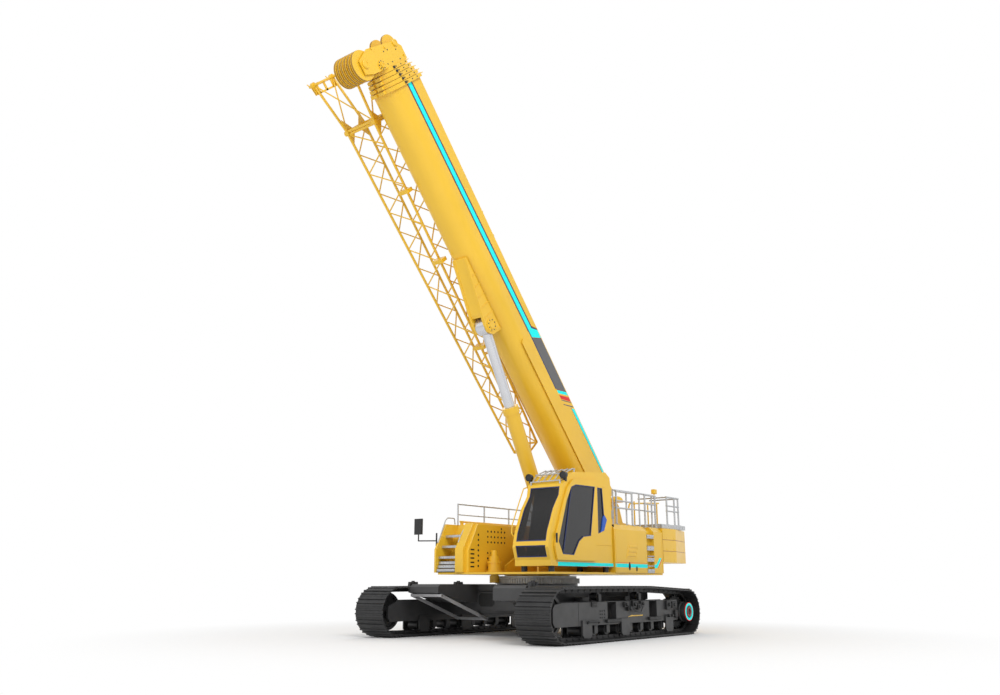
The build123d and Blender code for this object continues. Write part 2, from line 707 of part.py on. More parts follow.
# ---------------------------------------------------------------- jib
def jib_section(s):
    """The four chord points of the jib at one place along the boom."""
    share = (s - jib_tip_s) / (jib_root_s - jib_tip_s)
    half = (jib_tip_width + share * (jib_root_width - jib_tip_width)) / 2
    depth = jib_tip_depth + share * (jib_root_depth - jib_tip_depth)
    y0, y1 = jib_centre_y - half, jib_centre_y + half
    return [(s, y0, jib_bottom_h), (s, y1, jib_bottom_h), (s, y1, jib_bottom_h + depth), (s, y0, jib_bottom_h + depth)]


def jib_lattice():
    """Four tapering chords with zigzag lacing on each face."""
    root = jib_section(jib_root_s)
    tip = jib_section(jib_tip_s)
    bars = [bar(a, b, chord_radius, 8) for a, b in zip(tip, root)]
    bay = (jib_root_s - jib_tip_s) / jib_bays
    for i in range(jib_bays):
        here = jib_section(jib_tip_s + i * bay)
        half_way = jib_section(jib_tip_s + (i + 0.5) * bay)
        there = jib_section(jib_tip_s + (i + 1) * bay)
        for k in range(4):
            n = (k + 1) % 4
            bars.append(bar(here[k], half_way[n], lace_radius))
            bars.append(bar(half_way[n], there[k], lace_radius))
    for ends in (root, tip):
        bars += [bar(ends[k], ends[(k + 1) % 4], chord_radius * 0.9) for k in range(4)]
    return joined(bars)


print("jib")
parts["jib_lattice"] = raise_boom * jib_lattice()


def jib_frame():
    """Forked base frame of the jib, with its four pin lugs."""
    root = jib_section(jib_root_s + 60)
    bars = []
    ends = []
    for k, (s, y, h) in enumerate(root):
        flare = -230 if y < jib_centre_y else 60
        ends.append((jib_root_s + 1150, y + flare, h))
        bars.append(bar((s, y, h), ends[-1], chord_radius, 8))
    bars += [bar(root[k], root[(k + 1) % 4], chord_radius) for k in range(4)]
    bars += [bar(ends[0], ends[3], chord_radius), bar(ends[1], ends[2], chord_radius)]
    bars += [bar(root[0], ends[3], lace_radius), bar(root[1], ends[2], lace_radius), bar(root[1], ends[0], lace_radius)]
    return joined(bars)


parts["jib_frame"] = raise_boom * jib_frame()


def jib_bracket(s, depth):
    """Arm from the boom's side that holds the jib's inner chords."""
    y_boom = -boom_width / 2
    inner = jib_section(s)[1]
    return block(s - 40, s + 40, inner[1] - 60, y_boom, inner[2] - chord_radius - depth, inner[2] - 10)


parts["jib_brackets"] = [raise_boom * jib_bracket(s, d) - parts["jib_lattice"]
                         for s, d in [(4900, 160), (7000, 160), (8600, 160)]]

# ---------------------------------------------------------------- files
print("files")
os.makedirs("parts", exist_ok=True)
for name, shape in parts.items():
    if isinstance(shape, list):
        shape = Compound(children=shape)
    shape.label = name
    export_step(shape, "parts/" + name + ".step")
print(len(parts), "nodes")
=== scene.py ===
import json
from math import cos, sin, tan, pi, radians, hypot
import bpy
import bmesh
from mathutils import Matrix, Vector


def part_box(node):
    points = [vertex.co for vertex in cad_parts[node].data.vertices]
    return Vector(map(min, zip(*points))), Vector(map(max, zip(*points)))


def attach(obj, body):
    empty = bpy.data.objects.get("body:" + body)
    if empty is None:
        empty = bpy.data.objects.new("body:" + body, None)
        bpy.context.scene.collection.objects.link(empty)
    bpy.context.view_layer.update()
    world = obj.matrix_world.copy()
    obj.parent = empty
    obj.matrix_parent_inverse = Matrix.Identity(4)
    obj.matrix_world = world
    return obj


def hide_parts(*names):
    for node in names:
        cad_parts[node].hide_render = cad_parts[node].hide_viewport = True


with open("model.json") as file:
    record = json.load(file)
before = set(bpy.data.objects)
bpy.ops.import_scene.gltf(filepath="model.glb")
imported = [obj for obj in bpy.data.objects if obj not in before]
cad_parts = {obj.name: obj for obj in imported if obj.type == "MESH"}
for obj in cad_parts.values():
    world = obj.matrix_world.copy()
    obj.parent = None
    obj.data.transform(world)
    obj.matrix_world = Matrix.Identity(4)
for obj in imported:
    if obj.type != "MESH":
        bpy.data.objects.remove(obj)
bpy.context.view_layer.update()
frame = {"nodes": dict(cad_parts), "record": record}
nodes = frame["nodes"]
scene = bpy.context.scene
joints = {joint["name"]: joint for joint in frame["record"]["behaviour"]["joints"]}
white = (1, 1, 1, 1)

print("view and light")
viewing = {
    "place": (15.954, 11.546, 1.065),
    "right": (-0.618, 0.786, 0.0),
    "up": (0.1976, 0.1554, 0.968),
    "lens": 32.55,
    "floorHalf": 120.0,
    "floorFade": (4.5, 10.0),  # radius where the paper starts and ends to run into the backdrop
    "worldLight": 0.62,
    # name, place, aim, size and power of each soft lamp
    "lamps": [("keyLamp", (14, 20, 20), (0, 0, 4), 12, 3250), ("frontLamp", (22, -4, 10), (0, 0, 3), 10, 620),
              ("rearLamp", (-16, -14, 18), (0, 0, 4), 12, 900)],
}


def addNode(tree, kind, links=(), **values):
    # a value is an attribute of the node, or else an input with "_" for each space
    node = tree.nodes.new(kind)
    for key, value in values.items():
        if hasattr(node, key):
            setattr(node, key, value)
        else:
            node.inputs[key.replace("_", " ")].default_value = value
    for source, target in links:
        tree.links.new(source, node.inputs[target])
    return node


def seenBy(tree, *rays):
    # 1 for a ray of one of these kinds, 0 for any other
    path = addNode(tree, "ShaderNodeLightPath")
    seen = path.outputs[rays[0]]
    for ray in rays[1:]:
        seen = addNode(tree, "ShaderNodeMath", [(seen, 0), (path.outputs[ray], 1)], operation="MAXIMUM").outputs[0]
    return seen


def addCamera():
    data = bpy.data.cameras.new("camera")
    data.lens = viewing["lens"]
    data.sensor_width = 36
    data.clip_end = 400
    camera = bpy.data.objects.new("camera", data)
    right = Vector(viewing["right"]).normalized()
    back = right.cross(Vector(viewing["up"])).normalized()
    turn = Matrix((right, back.cross(right), back)).transposed()
    camera.matrix_world = Matrix.Translation(viewing["place"]) @ turn.to_4x4()
    scene.collection.objects.link(camera)
    scene.camera = camera


def addWorld():
    # white to the camera, in glossy reflections and through glass, a softer white for all other light
    world = bpy.data.worlds.new("studio")
    world.use_nodes = True
    tree = world.node_tree
    tree.nodes.clear()
    soft = addNode(tree, "ShaderNodeBackground", Color=white, Strength=viewing["worldLight"])
    pale = addNode(tree, "ShaderNodeBackground", Color=white, Strength=1.0)
    seen = seenBy(tree, "Is Camera Ray", "Is Glossy Ray", "Is Transmission Ray")
    mix = addNode(tree, "ShaderNodeMixShader", [(seen, 0), (soft.outputs[0], 1), (pale.outputs[0], 2)])
    addNode(tree, "ShaderNodeOutputWorld", [(mix.outputs[0], "Surface")])
    scene.world = world


def addFloor():
    # near the crane the paper takes the shadow, further out it runs into the white backdrop
    h = viewing["floorHalf"]
    near, far = viewing["floorFade"]
    mesh = bpy.data.meshes.new("floor")
    mesh.from_pydata([(-h, -h, 0), (h, -h, 0), (h, h, 0), (-h, h, 0)], [], [(0, 1, 2, 3)])
    floor = bpy.data.objects.new("floor", mesh)
    paper = bpy.data.materials.new("floorPaper")
    paper.use_nodes = True
    tree = paper.node_tree
    matte = tree.nodes["Principled BSDF"]
    matte.inputs["Base Color"].default_value = (0.96, 0.96, 0.96, 1)
    matte.inputs["Roughness"].default_value = 0.9
    glow = addNode(tree, "ShaderNodeEmission", Color=white)
    place = addNode(tree, "ShaderNodeTexCoord")
    reach = addNode(tree, "ShaderNodeVectorMath", [(place.outputs["Object"], 0)], operation="LENGTH")
    fade = addNode(tree, "ShaderNodeMapRange", [(reach.outputs["Value"], "Value")], interpolation_type="SMOOTHSTEP",
                   From_Min=near, From_Max=far)
    seen = seenBy(tree, "Is Camera Ray", "Is Transmission Ray")
    share = addNode(tree, "ShaderNodeMath", [(fade.outputs["Result"], 0), (seen, 1)], operation="MULTIPLY")
    mix = addNode(tree, "ShaderNodeMixShader", [(share.outputs[0], 0), (matte.outputs[0], 1), (glow.outputs[0], 2)])
    tree.links.new(mix.outputs[0], tree.nodes["Material Output"].inputs["Surface"])
    mesh.materials.append(paper)
    scene.collection.objects.link(floor)


def addLamp(name, place, aim, size, power):
    data = bpy.data.lights.new(name, "AREA")
    data.shape = "SQUARE"
    data.size = size
    data.energy = power
    lamp = bpy.data.objects.new(name, data)
    lamp.location = place
    lamp.rotation_mode = "QUATERNION"
    lamp.rotation_quaternion = (Vector(aim) - Vector(place)).to_track_quat("-Z", "Y")
    scene.collection.objects.link(lamp)


addCamera()
addWorld()
addFloor()
for lampRow in viewing["lamps"]:
    addLamp(*lampRow)
scene.view_settings.view_transform = "Standard"

print("finishes")
# colour, roughness, metal, how strong and how large the cloudy tint is, bump and its grain, clear coat
finishTable = {
    "yellowPaint": dict(colour=(0.86, 0.525, 0.030), rough=0.36, coat=0.22, mottle=0.05, grain=1.1),
    "cyanBand": dict(colour=(0.0, 0.93, 0.91), rough=0.55, mottle=0.03, grain=3),
    "greyBand": dict(colour=(0.12, 0.12, 0.125), rough=0.4, grain=3),
    "redBand": dict(colour=(0.78, 0.01, 0.008), rough=0.38, mottle=0.04, grain=3),
    "navyLine": dict(colour=(0.014, 0.028, 0.12), rough=0.4, grain=4),
    "blueBand": dict(colour=(0.004, 0.09, 0.52), rough=0.36, mottle=0.04, grain=3),
    "rustLine": dict(colour=(0.25, 0.035, 0.03), rough=0.45, grain=4),
    "darkPaint": dict(colour=(0.036, 0.036, 0.037), rough=0.42, coat=0.12, mottle=0.16, grain=2.4, bump=0.06),
    "trackIron": dict(colour=(0.030, 0.030, 0.031), rough=0.46, metal=0.3, mottle=0.3, bump=0.12, bumpGrain=70),
    "wornIron": dict(colour=(0.10, 0.10, 0.10), rough=0.36, metal=0.8, mottle=0.3, grain=9, bump=0.1, bumpGrain=80),
    "paleSteel": dict(colour=(0.42, 0.42, 0.43), rough=0.42, metal=0.4, mottle=0.12, grain=4),
    "railSteel": dict(colour=(0.52, 0.53, 0.54), rough=0.3, metal=0.65, mottle=0.1),
    # pale steel of the slewing ring, made paler still to make up for the shade under the deck: partly painted light
    "ringSteelPaintedLight": dict(colour=(0.78, 0.78, 0.77), rough=0.5, metal=0.1, mottle=0.08, grain=8),
    "chromeRod": dict(colour=(0.66, 0.67, 0.70), rough=0.2, metal=0.75, mottle=0.03, grain=3, bump=0.0),
    "ropeSteel": dict(colour=(0.17, 0.165, 0.155), rough=0.45, metal=0.7, mottle=0.25, grain=30, bump=0.3,
                      bumpGrain=260),
    "blackPlastic": dict(colour=(0.012, 0.012, 0.013), rough=0.42, mottle=0.15, grain=9, bump=0.08),
    # black that stands in for the shade inside holes, openings, pockets and gaps: painted shade
    "paintedShadeBlack": dict(colour=(0.004, 0.004, 0.004), rough=0.7, mottle=0.2, grain=9),
    "padBrown": dict(colour=(0.020, 0.018, 0.016), rough=0.55, mottle=0.2, grain=12, bump=0.1),
    # a darker copy of the yellow paint: painted shade for the sheave grooves
    "paintedGrooveShade": dict(colour=(0.34, 0.17, 0.012), rough=0.5, mottle=0.1),
    "seatCloth": dict(colour=(0.022, 0.022, 0.024), rough=0.8, mottle=0.2, grain=8, bump=0.4, bumpGrain=400),
}


def newMaterial(name):
    made = bpy.data.materials.new(name)
    made.use_nodes = True
    tree = made.node_tree
    return made, tree, tree.nodes["Principled BSDF"], addNode(tree, "ShaderNodeTexCoord").outputs["Object"]


def rampedNoise(tree, place, scale, detail, low, high):
    cloud = addNode(tree, "ShaderNodeTexNoise", [(place, "Vector")], Scale=scale, Detail=detail)
    return addNode(tree, "ShaderNodeMapRange", [(cloud.outputs["Fac"], "Value")], From_Min=0.3, From_Max=0.7,
                   To_Min=low, To_Max=high).outputs["Result"]


def addFinish(name, colour, rough, metal=0.0, mottle=0.06, grain=6.0, bump=0.02, bumpGrain=180.0, coat=0.0):
    made, tree, shader, place = newMaterial(name)
    link = tree.links.new
    tint = addNode(tree, "ShaderNodeVectorMath", operation="SCALE")
    tint.inputs[0].default_value = colour
    link(rampedNoise(tree, place, grain, 4, 1 - mottle, 1 + mottle * 0.5), tint.inputs["Scale"])
    link(tint.outputs["Vector"], shader.inputs["Base Color"])
    link(rampedNoise(tree, place, grain * 3.1, 3, max(0.03, rough - 0.06), rough + 0.08), shader.inputs["Roughness"])
    shader.inputs["Metallic"].default_value = metal
    shader.inputs["Coat Weight"].default_value = coat
    shader.inputs["Coat Roughness"].default_value = 0.12
    fine = addNode(tree, "ShaderNodeTexNoise", [(place, "Vector")], Scale=bumpGrain)
    relief = addNode(tree, "ShaderNodeBump", [(fine.outputs["Fac"], "Height")], Strength=bump, Distance=0.01)
    link(relief.outputs["Normal"], shader.inputs["Normal"])
    return made


def addGlass(name, colour, alpha):
    # tinted glass with a faint uneven sheen, part see-through
    made, tree, shader, place = newMaterial(name)
    shader.inputs["Base Color"].default_value = (*colour, 1)
    shader.inputs["Alpha"].default_value = alpha
    shader.inputs["IOR"].default_value = 1.45
    tree.links.new(rampedNoise(tree, place, 2.0, 2, 0.04, 0.12), shader.inputs["Roughness"])
    return made


finishes = {name: addFinish(name, **row) for name, row in finishTable.items()}
finishes["tintedGlass"] = addGlass("tintedGlass", (0.030, 0.031, 0.033), 0.90)
finishes["frontGlass"] = addGlass("frontGlass", (0.012, 0.012, 0.013), 0.72)
# the CAD nodes in each finish, all others are yellow
nodeFinish = {
    "darkPaint": ("engine_block", "main_winch", "aux_winch", "car_body", "track_frame_left", "track_frame_right",
                  "track_rollers", "sprockets", "idlers", "final_drives"),
    "trackIron": ("track_left", "track_right"), "blackPlastic": ("mirror", "cab_mounts"),
    "ringSteelPaintedLight": ("slewing_ring",), "paleSteel": ("steps",), "railSteel": ("handrails",), "chromeRod": ("ram_rod",),
    "tintedGlass": ("door_glass",), "seatCloth": ("cab_seat",),
}
for name, node in nodes.items():
    finishName = next((key for key, names in nodeFinish.items() if name in names), "yellowPaint")
    node.data.materials.clear()
    node.data.materials.append(finishes[finishName])


def addPiece(name, shape, finishName, body, keenAngle=32):
    if isinstance(shape, bmesh.types.BMesh):
        bmesh.ops.recalc_face_normals(shape, faces=shape.faces)
        mesh = bpy.data.meshes.new(name)
        shape.to_mesh(mesh)
        shape.free()
    else:
        mesh = shape
        mesh.name = name
    mesh.materials.clear()
    mesh.materials.append(finishes[finishName])
    for face in mesh.polygons:
        face.use_smooth = True
        face.material_index = 0
    mesh.set_sharp_from_angle(angle=radians(keenAngle))
    piece = bpy.data.objects.new(name, mesh)
    scene.collection.objects.link(piece)
    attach(piece, body)
    return piece


def addBlock(shape, low, high, bevel=0.004):
    made = bmesh.ops.create_cube(shape, size=1.0)["verts"]
    size = [abs(b - a) for a, b in zip(low, high)]
    bmesh.ops.scale(shape, vec=size, verts=made)
    bmesh.ops.translate(shape, vec=(Vector(low) + Vector(high)) / 2, verts=made)
    edges = list({edge for vert in made for edge in vert.link_edges})
    bmesh.ops.bevel(shape, geom=edges, offset=min(bevel, min(size) * 0.3), segments=1, affect="EDGES")


def addPlate(shape, outline, place, low, high, bevel=0.0):
    # a plate with its outline in the two coordinates of place(u, v, w), between two values of w
    bottom = [shape.verts.new(place(u, v, low)) for u, v in outline]
    top = [shape.verts.new(place(u, v, high)) for u, v in outline]
    faces = [shape.faces.new(bottom[::-1]), shape.faces.new(top)]
    for i in range(len(outline)):
        faces.append(shape.faces.new((bottom[i - 1], bottom[i], top[i], top[i - 1])))
    bmesh.ops.recalc_face_normals(shape, faces=faces)
    if bevel:
        bmesh.ops.bevel(shape, geom=list(faces[1].edges), offset=bevel, segments=1, affect="EDGES")


def sidePlate(shape, outline, y0, y1, bevel=0.0):
    # outline in x and z, or in s and h for what is raised with the boom
    addPlate(shape, outline, lambda x, z, y: Vector((x, y, z)), y0, y1, bevel)


def planPlate(shape, outline, z0, z1, bevel=0.0):
    addPlate(shape, outline, lambda x, y, z: Vector((x, y, z)), z0, z1, bevel)


def crossPlate(shape, outline, x0, x1, bevel=0.0):
    addPlate(shape, outline, lambda y, z, x: Vector((x, y, z)), x0, x1, bevel)


sideName = {1: "Left", -1: "Right"}


def flank(side):
    # x and z on one side, y counted outwards
    return lambda x, z, y: Vector((x, side * y, z))


def span(side, near, far):
    return sorted((side * near, side * far))


def rectangle(u0, v0, u1, v1):
    return [(u0, v0), (u1, v0), (u1, v1), (u0, v1)]


def ovalLine(u, v, ru, rv, count):
    return [(u + ru * cos(2 * pi * i / count), v + rv * sin(2 * pi * i / count)) for i in range(count)]


def axes(axis):
    axis = Vector(axis).normalized()
    across = axis.orthogonal().normalized()
    return axis, across, axis.cross(across)


def addCircle(shape, centre, across, other, radius, sides):
    return [shape.verts.new(centre + (across * cos(2 * pi * i / sides) + other * sin(2 * pi * i / sides)) * radius)
            for i in range(sides)]


def joinCircles(shape, a, b):
    for i in range(len(a)):
        j = (i + 1) % len(a)
        shape.faces.new((a[i], a[j], b[j], b[i]))


def addRound(shape, profile, place, axis, sides=24):
    # a turned shape from rows of radius and distance along the axis, closed at both ends
    axis, across, other = axes(axis)
    rings = []
    for radius, along in profile:
        centre = Vector(place) + axis * along
        rings.append([shape.verts.new(centre)] if radius < 1e-6
                     else addCircle(shape, centre, across, other, radius, sides))
    for a, b in zip(rings, rings[1:]):
        if len(b) == 1:
            for i in range(sides):
                shape.faces.new((a[(i + 1) % sides], a[i], b[0]))
        else:
            joinCircles(shape, a, b)
    shape.faces.new(rings[0][::-1])
    if len(rings[-1]) > 1:
        shape.faces.new(rings[-1])


def bentLine(points, radius, steps=5):
    # the points of a bent bar, with each corner turned on a radius
    points = [Vector(p) for p in points]
    line = [points[0]]
    for before, here, after in zip(points, points[1:], points[2:]):
        back, on = (before - here).normalized(), (after - here).normalized()
        angle = back.angle(on)
        if angle > pi - 0.02:
            line.append(here)
            continue
        cut = min(radius / max(0.05, tan(angle / 2)), (before - here).length * 0.45, (after - here).length * 0.45)
        start, end = here + back * cut, here + on * cut
        for i in range(steps + 1):
            t = i / steps
            line.append(start.lerp(here, t).lerp(here.lerp(end, t), t))
    line.append(points[-1])
    return line


def addTube(shape, line, radius, sides=8):
    # a round bar along a line of points, closed at both ends
    line = [Vector(p) for p in line]
    way = (line[1] - line[0]).normalized()
    across = way.orthogonal().normalized()
    rings = []
    for i, point in enumerate(line):
        before = (point - line[i - 1]).normalized() if i else way
        after = (line[i + 1] - point).normalized() if i < len(line) - 1 else before
        way = (before + after).normalized()
        across = (across - way * across.dot(way)).normalized()
        rings.append(addCircle(shape, point, across, way.cross(across), radius, sides))
    for a, b in zip(rings, rings[1:]):
        joinCircles(shape, a, b)
    shape.faces.new(rings[0][::-1])
    shape.faces.new(rings[-1])


def addRing(shape, centre, axis, outer, inner, low, high, sides=32):
    # a flat ring between two distances along its axis
    axis, across, other = axes(axis)
    rings = [addCircle(shape, Vector(centre) + axis * along, across, other, radius, sides)
             for radius, along in ((inner, low), (outer, low), (outer, high), (inner, high))]
    for a, b in zip(rings, rings[1:] + rings[:1]):
        joinCircles(shape, a, b)


def newTree(name, sockets):
    tree = bpy.data.node_groups.new(name, "GeometryNodeTree")
    kinds = {"float": "NodeSocketFloat", "int": "NodeSocketInt", "object": "NodeSocketObject",
             "material": "NodeSocketMaterial"}
    tree.interface.new_socket("Geometry", in_out="INPUT", socket_type="NodeSocketGeometry")
    for label, kind in sockets:
        tree.interface.new_socket(label, in_out="INPUT", socket_type=kinds[kind])
    tree.interface.new_socket("Geometry", in_out="OUTPUT", socket_type="NodeSocketGeometry")
    return tree, tree.nodes.new("NodeGroupInput")


def closeTree(tree, given, points, item, turn):
    # one item on every point, made real and clad in the finish
    spread = addNode(tree, "GeometryNodeInstanceOnPoints", [(points, "Points"), (item, "Instance"),
                                                            (turn.outputs[0], "Rotation")])
    real = addNode(tree, "GeometryNodeRealizeInstances", [(spread.outputs[0], "Geometry")])
    clad = addNode(tree, "GeometryNodeSetMaterial", [(real.outputs[0], "Geometry"),
                                                     (given.outputs["Finish"], "Material")])
    addNode(tree, "NodeGroupOutput", [(clad.outputs[0], "Geometry")])
    return tree


def growPiece(name, tree, base, values, finishName, body, keenAngle=32):
    # runs the tree on the base mesh and keeps the result as a plain mesh
    holder = bpy.data.objects.new(name + "Base", base)
    scene.collection.objects.link(holder)
    modifier = holder.modifiers.new(name, "NODES")
    modifier.node_group = tree
    values = dict(values, Finish=finishes[finishName])
    for item in tree.interface.items_tree:
        if item.in_out == "INPUT" and item.name in values:
            modifier[item.identifier] = values[item.name]
    ready = holder.evaluated_get(bpy.context.evaluated_depsgraph_get())
    mesh = bpy.data.meshes.new_from_object(ready)
    bpy.data.objects.remove(holder)
    return addPiece(name, mesh, finishName, body, keenAngle)


def makeBoltTree():
    # a six-sided head on a washer at every point, turned to the point's facing direction
    tree, given = newTree("boltTree", [("Head radius", "float"), ("Head height", "float"),
                                       ("Washer radius", "float"), ("Sides", "int"), ("Finish", "material")])
    half, thin = [addNode(tree, "ShaderNodeMath", [(given.outputs["Head height"], 0)], operation="MULTIPLY")
                  for i in range(2)]
    half.inputs[1].default_value = 0.5
    thin.inputs[1].default_value = 0.3
    lift = addNode(tree, "ShaderNodeCombineXYZ", [(half.outputs[0], "Z")])
    head = addNode(tree, "GeometryNodeMeshCylinder", [(given.outputs["Head radius"], "Radius"),
                                                      (given.outputs["Head height"], "Depth"),
                                                      (given.outputs["Sides"], "Vertices")])
    raised = addNode(tree, "GeometryNodeTransform", [(head.outputs["Mesh"], "Geometry"),
                                                     (lift.outputs[0], "Translation")])
    washer = addNode(tree, "GeometryNodeMeshCylinder", [(given.outputs["Washer radius"], "Radius"),
                                                        (thin.outputs[0], "Depth")], Vertices=12)
    both = addNode(tree, "GeometryNodeJoinGeometry", [(raised.outputs[0], "Geometry"),
                                                      (washer.outputs["Mesh"], "Geometry")])
    facing = addNode(tree, "GeometryNodeInputNamedAttribute", data_type="FLOAT_VECTOR", Name="facing")
    turn = addNode(tree, "FunctionNodeAlignRotationToVector", [(facing.outputs[0], "Vector")], axis="Z")
    return closeTree(tree, given, given.outputs["Geometry"], both.outputs[0], turn)


boltTree = makeBoltTree()


def addBolts(name, rows, size, finishName, body, sides=6):
    # one bolt for each row of place and facing direction
    mesh = bpy.data.meshes.new(name + "Points")
    mesh.from_pydata([tuple(place) for place, way in rows], [], [])
    facing = mesh.attributes.new("facing", "FLOAT_VECTOR", "POINT")
    for i, row in enumerate(rows):
        facing.data[i].vector = tuple(row[1])
    values = {"Head radius": size, "Head height": size * 0.75, "Washer radius": size * 1.45, "Sides": sides}
    return growPiece(name, boltTree, mesh, values, finishName, body)


# the boom's own frame: s along it, h above its axis
pivot = Vector(joints["boom_luff"]["pos_m"])
alongBoom = Vector(joints["telescope_2"]["axis"])
aboveBoom = Vector((-alongBoom.z, 0, alongBoom.x))
boomMatrix = Matrix(((alongBoom.x, 0, aboveBoom.x, pivot.x), (0, 1, 0, 0), (alongBoom.z, 0, aboveBoom.z, pivot.z),
                     (0, 0, 0, 1)))


def boomPoint(s, y, h):
    return pivot + alongBoom * s + Vector((0, y, 0)) + aboveBoom * h


def boomSide(side):
    # s and h on one flank, w outwards
    return lambda s, h, w: boomPoint(s, side * (boomShape["halfWidth"] + w), h)


def addBoomPiece(name, shape, finishName, body):
    # the shape is drawn in s, y and h, then raised with the boom
    bmesh.ops.transform(shape, matrix=boomMatrix, verts=shape.verts)
    return addPiece(name, shape, finishName, body)


def boltCircle(s, y, h, radius, side, start=0.0, count=8):
    # places and directions of bolts on a circle on one flank of the boom
    angles = [2 * i * pi / count + start for i in range(count)]
    return [(boomPoint(s + radius * cos(a), side * y, h + radius * sin(a)), (0, side, 0)) for a in angles]


def boomBody(index):
    return "boom_base" if index == 0 else "boom_" + str(index + 1)


boomShape = {"halfWidth": 0.372, "halfDepth": 0.462, "headS": 10.56, "step": 0.086, "inset": 0.026}
lastS = boomShape["headS"] + 4 * boomShape["step"]

print("boom bands")
boomBands = {
    "proud": 0.0015,
    "boomCyan": ("cyanBand", [
        [(10.48, -0.01), (10.48, 0.10), (4.77, 0.245), (4.62, 0.415), (4.42, 0.415), (4.60, 0.135), (4.76, 0.125)],
        [(3.235, 0.13), (2.99, 0.415), (2.90, 0.415), (3.145, 0.13)],
        [(2.60, 0.335), (2.53, 0.415), (0.66, 0.415), (0.66, 0.365)]]),
    "boomGrey": ("greyBand", [[(4.585, 0.128), (4.40, 0.415), (3.01, 0.415), (3.26, 0.128)]]),
    "boomRed": ("redBand", [[(3.10, 0.13), (2.85, 0.415), (2.73, 0.415), (2.995, 0.13)]]),
    "boomNavy": ("navyLine", [
        [(10.48, 0.10), (10.48, 0.125), (4.79, 0.27), (4.65, 0.415), (4.62, 0.415), (4.77, 0.245)],
        [(10.48, -0.035), (10.48, -0.01), (4.76, 0.125), (4.76, 0.10)],
        [(4.76, 0.10), (4.76, 0.125), (4.60, 0.128), (3.27, 0.128), (3.27, 0.103)],
        [(2.975, 0.13), (2.715, 0.415), (2.695, 0.415), (2.955, 0.13)],
        [(2.86, 0.13), (2.60, 0.415), (2.575, 0.415), (2.835, 0.13)]]),
    "boomRust": ("rustLine", [
        [(10.48, 0.125), (10.48, 0.140), (4.80, 0.285), (4.67, 0.415), (4.65, 0.415), (4.79, 0.27)],
        [(10.48, -0.050), (10.48, -0.035), (4.76, 0.10), (4.76, 0.085)],
        [(4.60, 0.128), (4.42, 0.415), (4.40, 0.415), (4.585, 0.128)],
        [(3.26, 0.128), (3.01, 0.415), (2.99, 0.415), (3.235, 0.13)],
        [(2.62, 0.322), (2.60, 0.335), (0.66, 0.365), (0.66, 0.352)]]),
}
for bandName in ("boomCyan", "boomGrey", "boomRed", "boomNavy", "boomRust"):
    bandFinish, outlines = boomBands[bandName]
    shape = bmesh.new()
    for side in (1, -1):
        for outline in outlines:
            addPlate(shape, outline, boomSide(side), -0.0005, boomBands["proud"])
    addPiece(bandName, shape, bandFinish, "boom_base")

print("boom fittings")
collarFit = {"boltRadius": 0.011, "flankRows": (-0.05, 0.12, 0.29), "bottomOffsets": (-0.11, -0.05, 0.05, 0.11),
             "padSize": (0.05, 0.06, 0.018)}
for index in range(5):
    body = boomBody(index)
    inset = index * boomShape["inset"]
    halfWidth = boomShape["halfWidth"] + 0.055 - inset
    bottom = -(boomShape["halfDepth"] - inset) - 0.085
    s = boomShape["headS"] + index * boomShape["step"] - 0.039
    rows = [(boomPoint(s, side * (halfWidth - 0.001), h), (0, side, 0)) for side in (1, -1)
            for h in collarFit["flankRows"]]
    rows += [(boomPoint(s, y, bottom + 0.001), -aboveBoom) for y in collarFit["bottomOffsets"]]
    rows += [(boomPoint(s, y, boomShape["halfDepth"] - inset + 0.054), aboveBoom) for y in (-0.2, 0, 0.2)]
    addBolts("collarBolts" + str(index + 1), rows, collarFit["boltRadius"], "wornIron", body)
    # adjusting blocks of the slide pads, bolted under the collar and on its flanks
    shape = bmesh.new()
    length, width, depth = collarFit["padSize"]
    for y in (-0.1, 0.1):
        addBlock(shape, (s - length / 2, y - width / 2, bottom - depth),
                 (s + length / 2, y + width / 2, bottom + 0.003))
    for side in (1, -1):
        addBlock(shape, (s - 0.025, side * halfWidth - 0.003, -0.15), (s + 0.025, side * (halfWidth + 0.014), -0.09))
    addBoomPiece("slidePads" + str(index + 1), shape, "padBrown", body)

# rope guides and small lugs along the boom's top
boomTop = {"guideS": (7.48, 6.92), "lugS": (1.6, 4.9, 9.6)}
shape = bmesh.new()
for s in boomTop["guideS"]:
    for side in (1, -1):
        sidePlate(shape, [(s - 0.06, 0.455), (s + 0.06, 0.455), (s + 0.035, 0.54), (s + 0.01, 0.565),
                          (s - 0.03, 0.55)], side * 0.28, side * 0.292, 0.002)
    addTube(shape, [(s, -0.30, 0.535), (s, 0.30, 0.535)], 0.014, 10)
for s in boomTop["lugS"]:
    sidePlate(shape, [(s - 0.07, 0.456), (s + 0.07, 0.456), (s + 0.03, 0.53), (s - 0.03, 0.53)], -0.012, 0.012, 0.003)
addBoomPiece("boomTopGuides", shape, "yellowPaint", "boom_base")

print("boom head")
headFit = {
    # s past the last section, h, radius and depth of each boss on the outer plates
    "bosses": [(0.09, -0.42, 0.095, 0.018), (0.09, -0.42, 0.055, 0.05), (0.23, -0.85, 0.085, 0.034),
               (0.36, 0.25, 0.07, 0.03)],
    "plateY": 0.30,
    "plateBolts": [(0.06, -0.22), (0.06, -0.06), (0.30, -0.05), (0.30, -0.18), (0.24, 0.20), (0.05, 0.20)],
    "crossBars": [(0.44, -0.50), (0.36, -0.10), (0.08, 0.36)],
}
shape = bmesh.new()
y = headFit["plateY"]
for side in (1, -1):
    for ds, h, radius, depth in headFit["bosses"]:
        addRound(shape, [(radius, -0.002), (radius, depth * 0.7), (radius * 0.86, depth), (radius * 0.5, depth),
                         (radius * 0.5, depth * 0.8), (0, depth * 0.8)], (lastS + ds, side * y, h), (0, side, 0), 28)
addBoomPiece("headBosses", shape, "yellowPaint", "boom_5")
rows = []
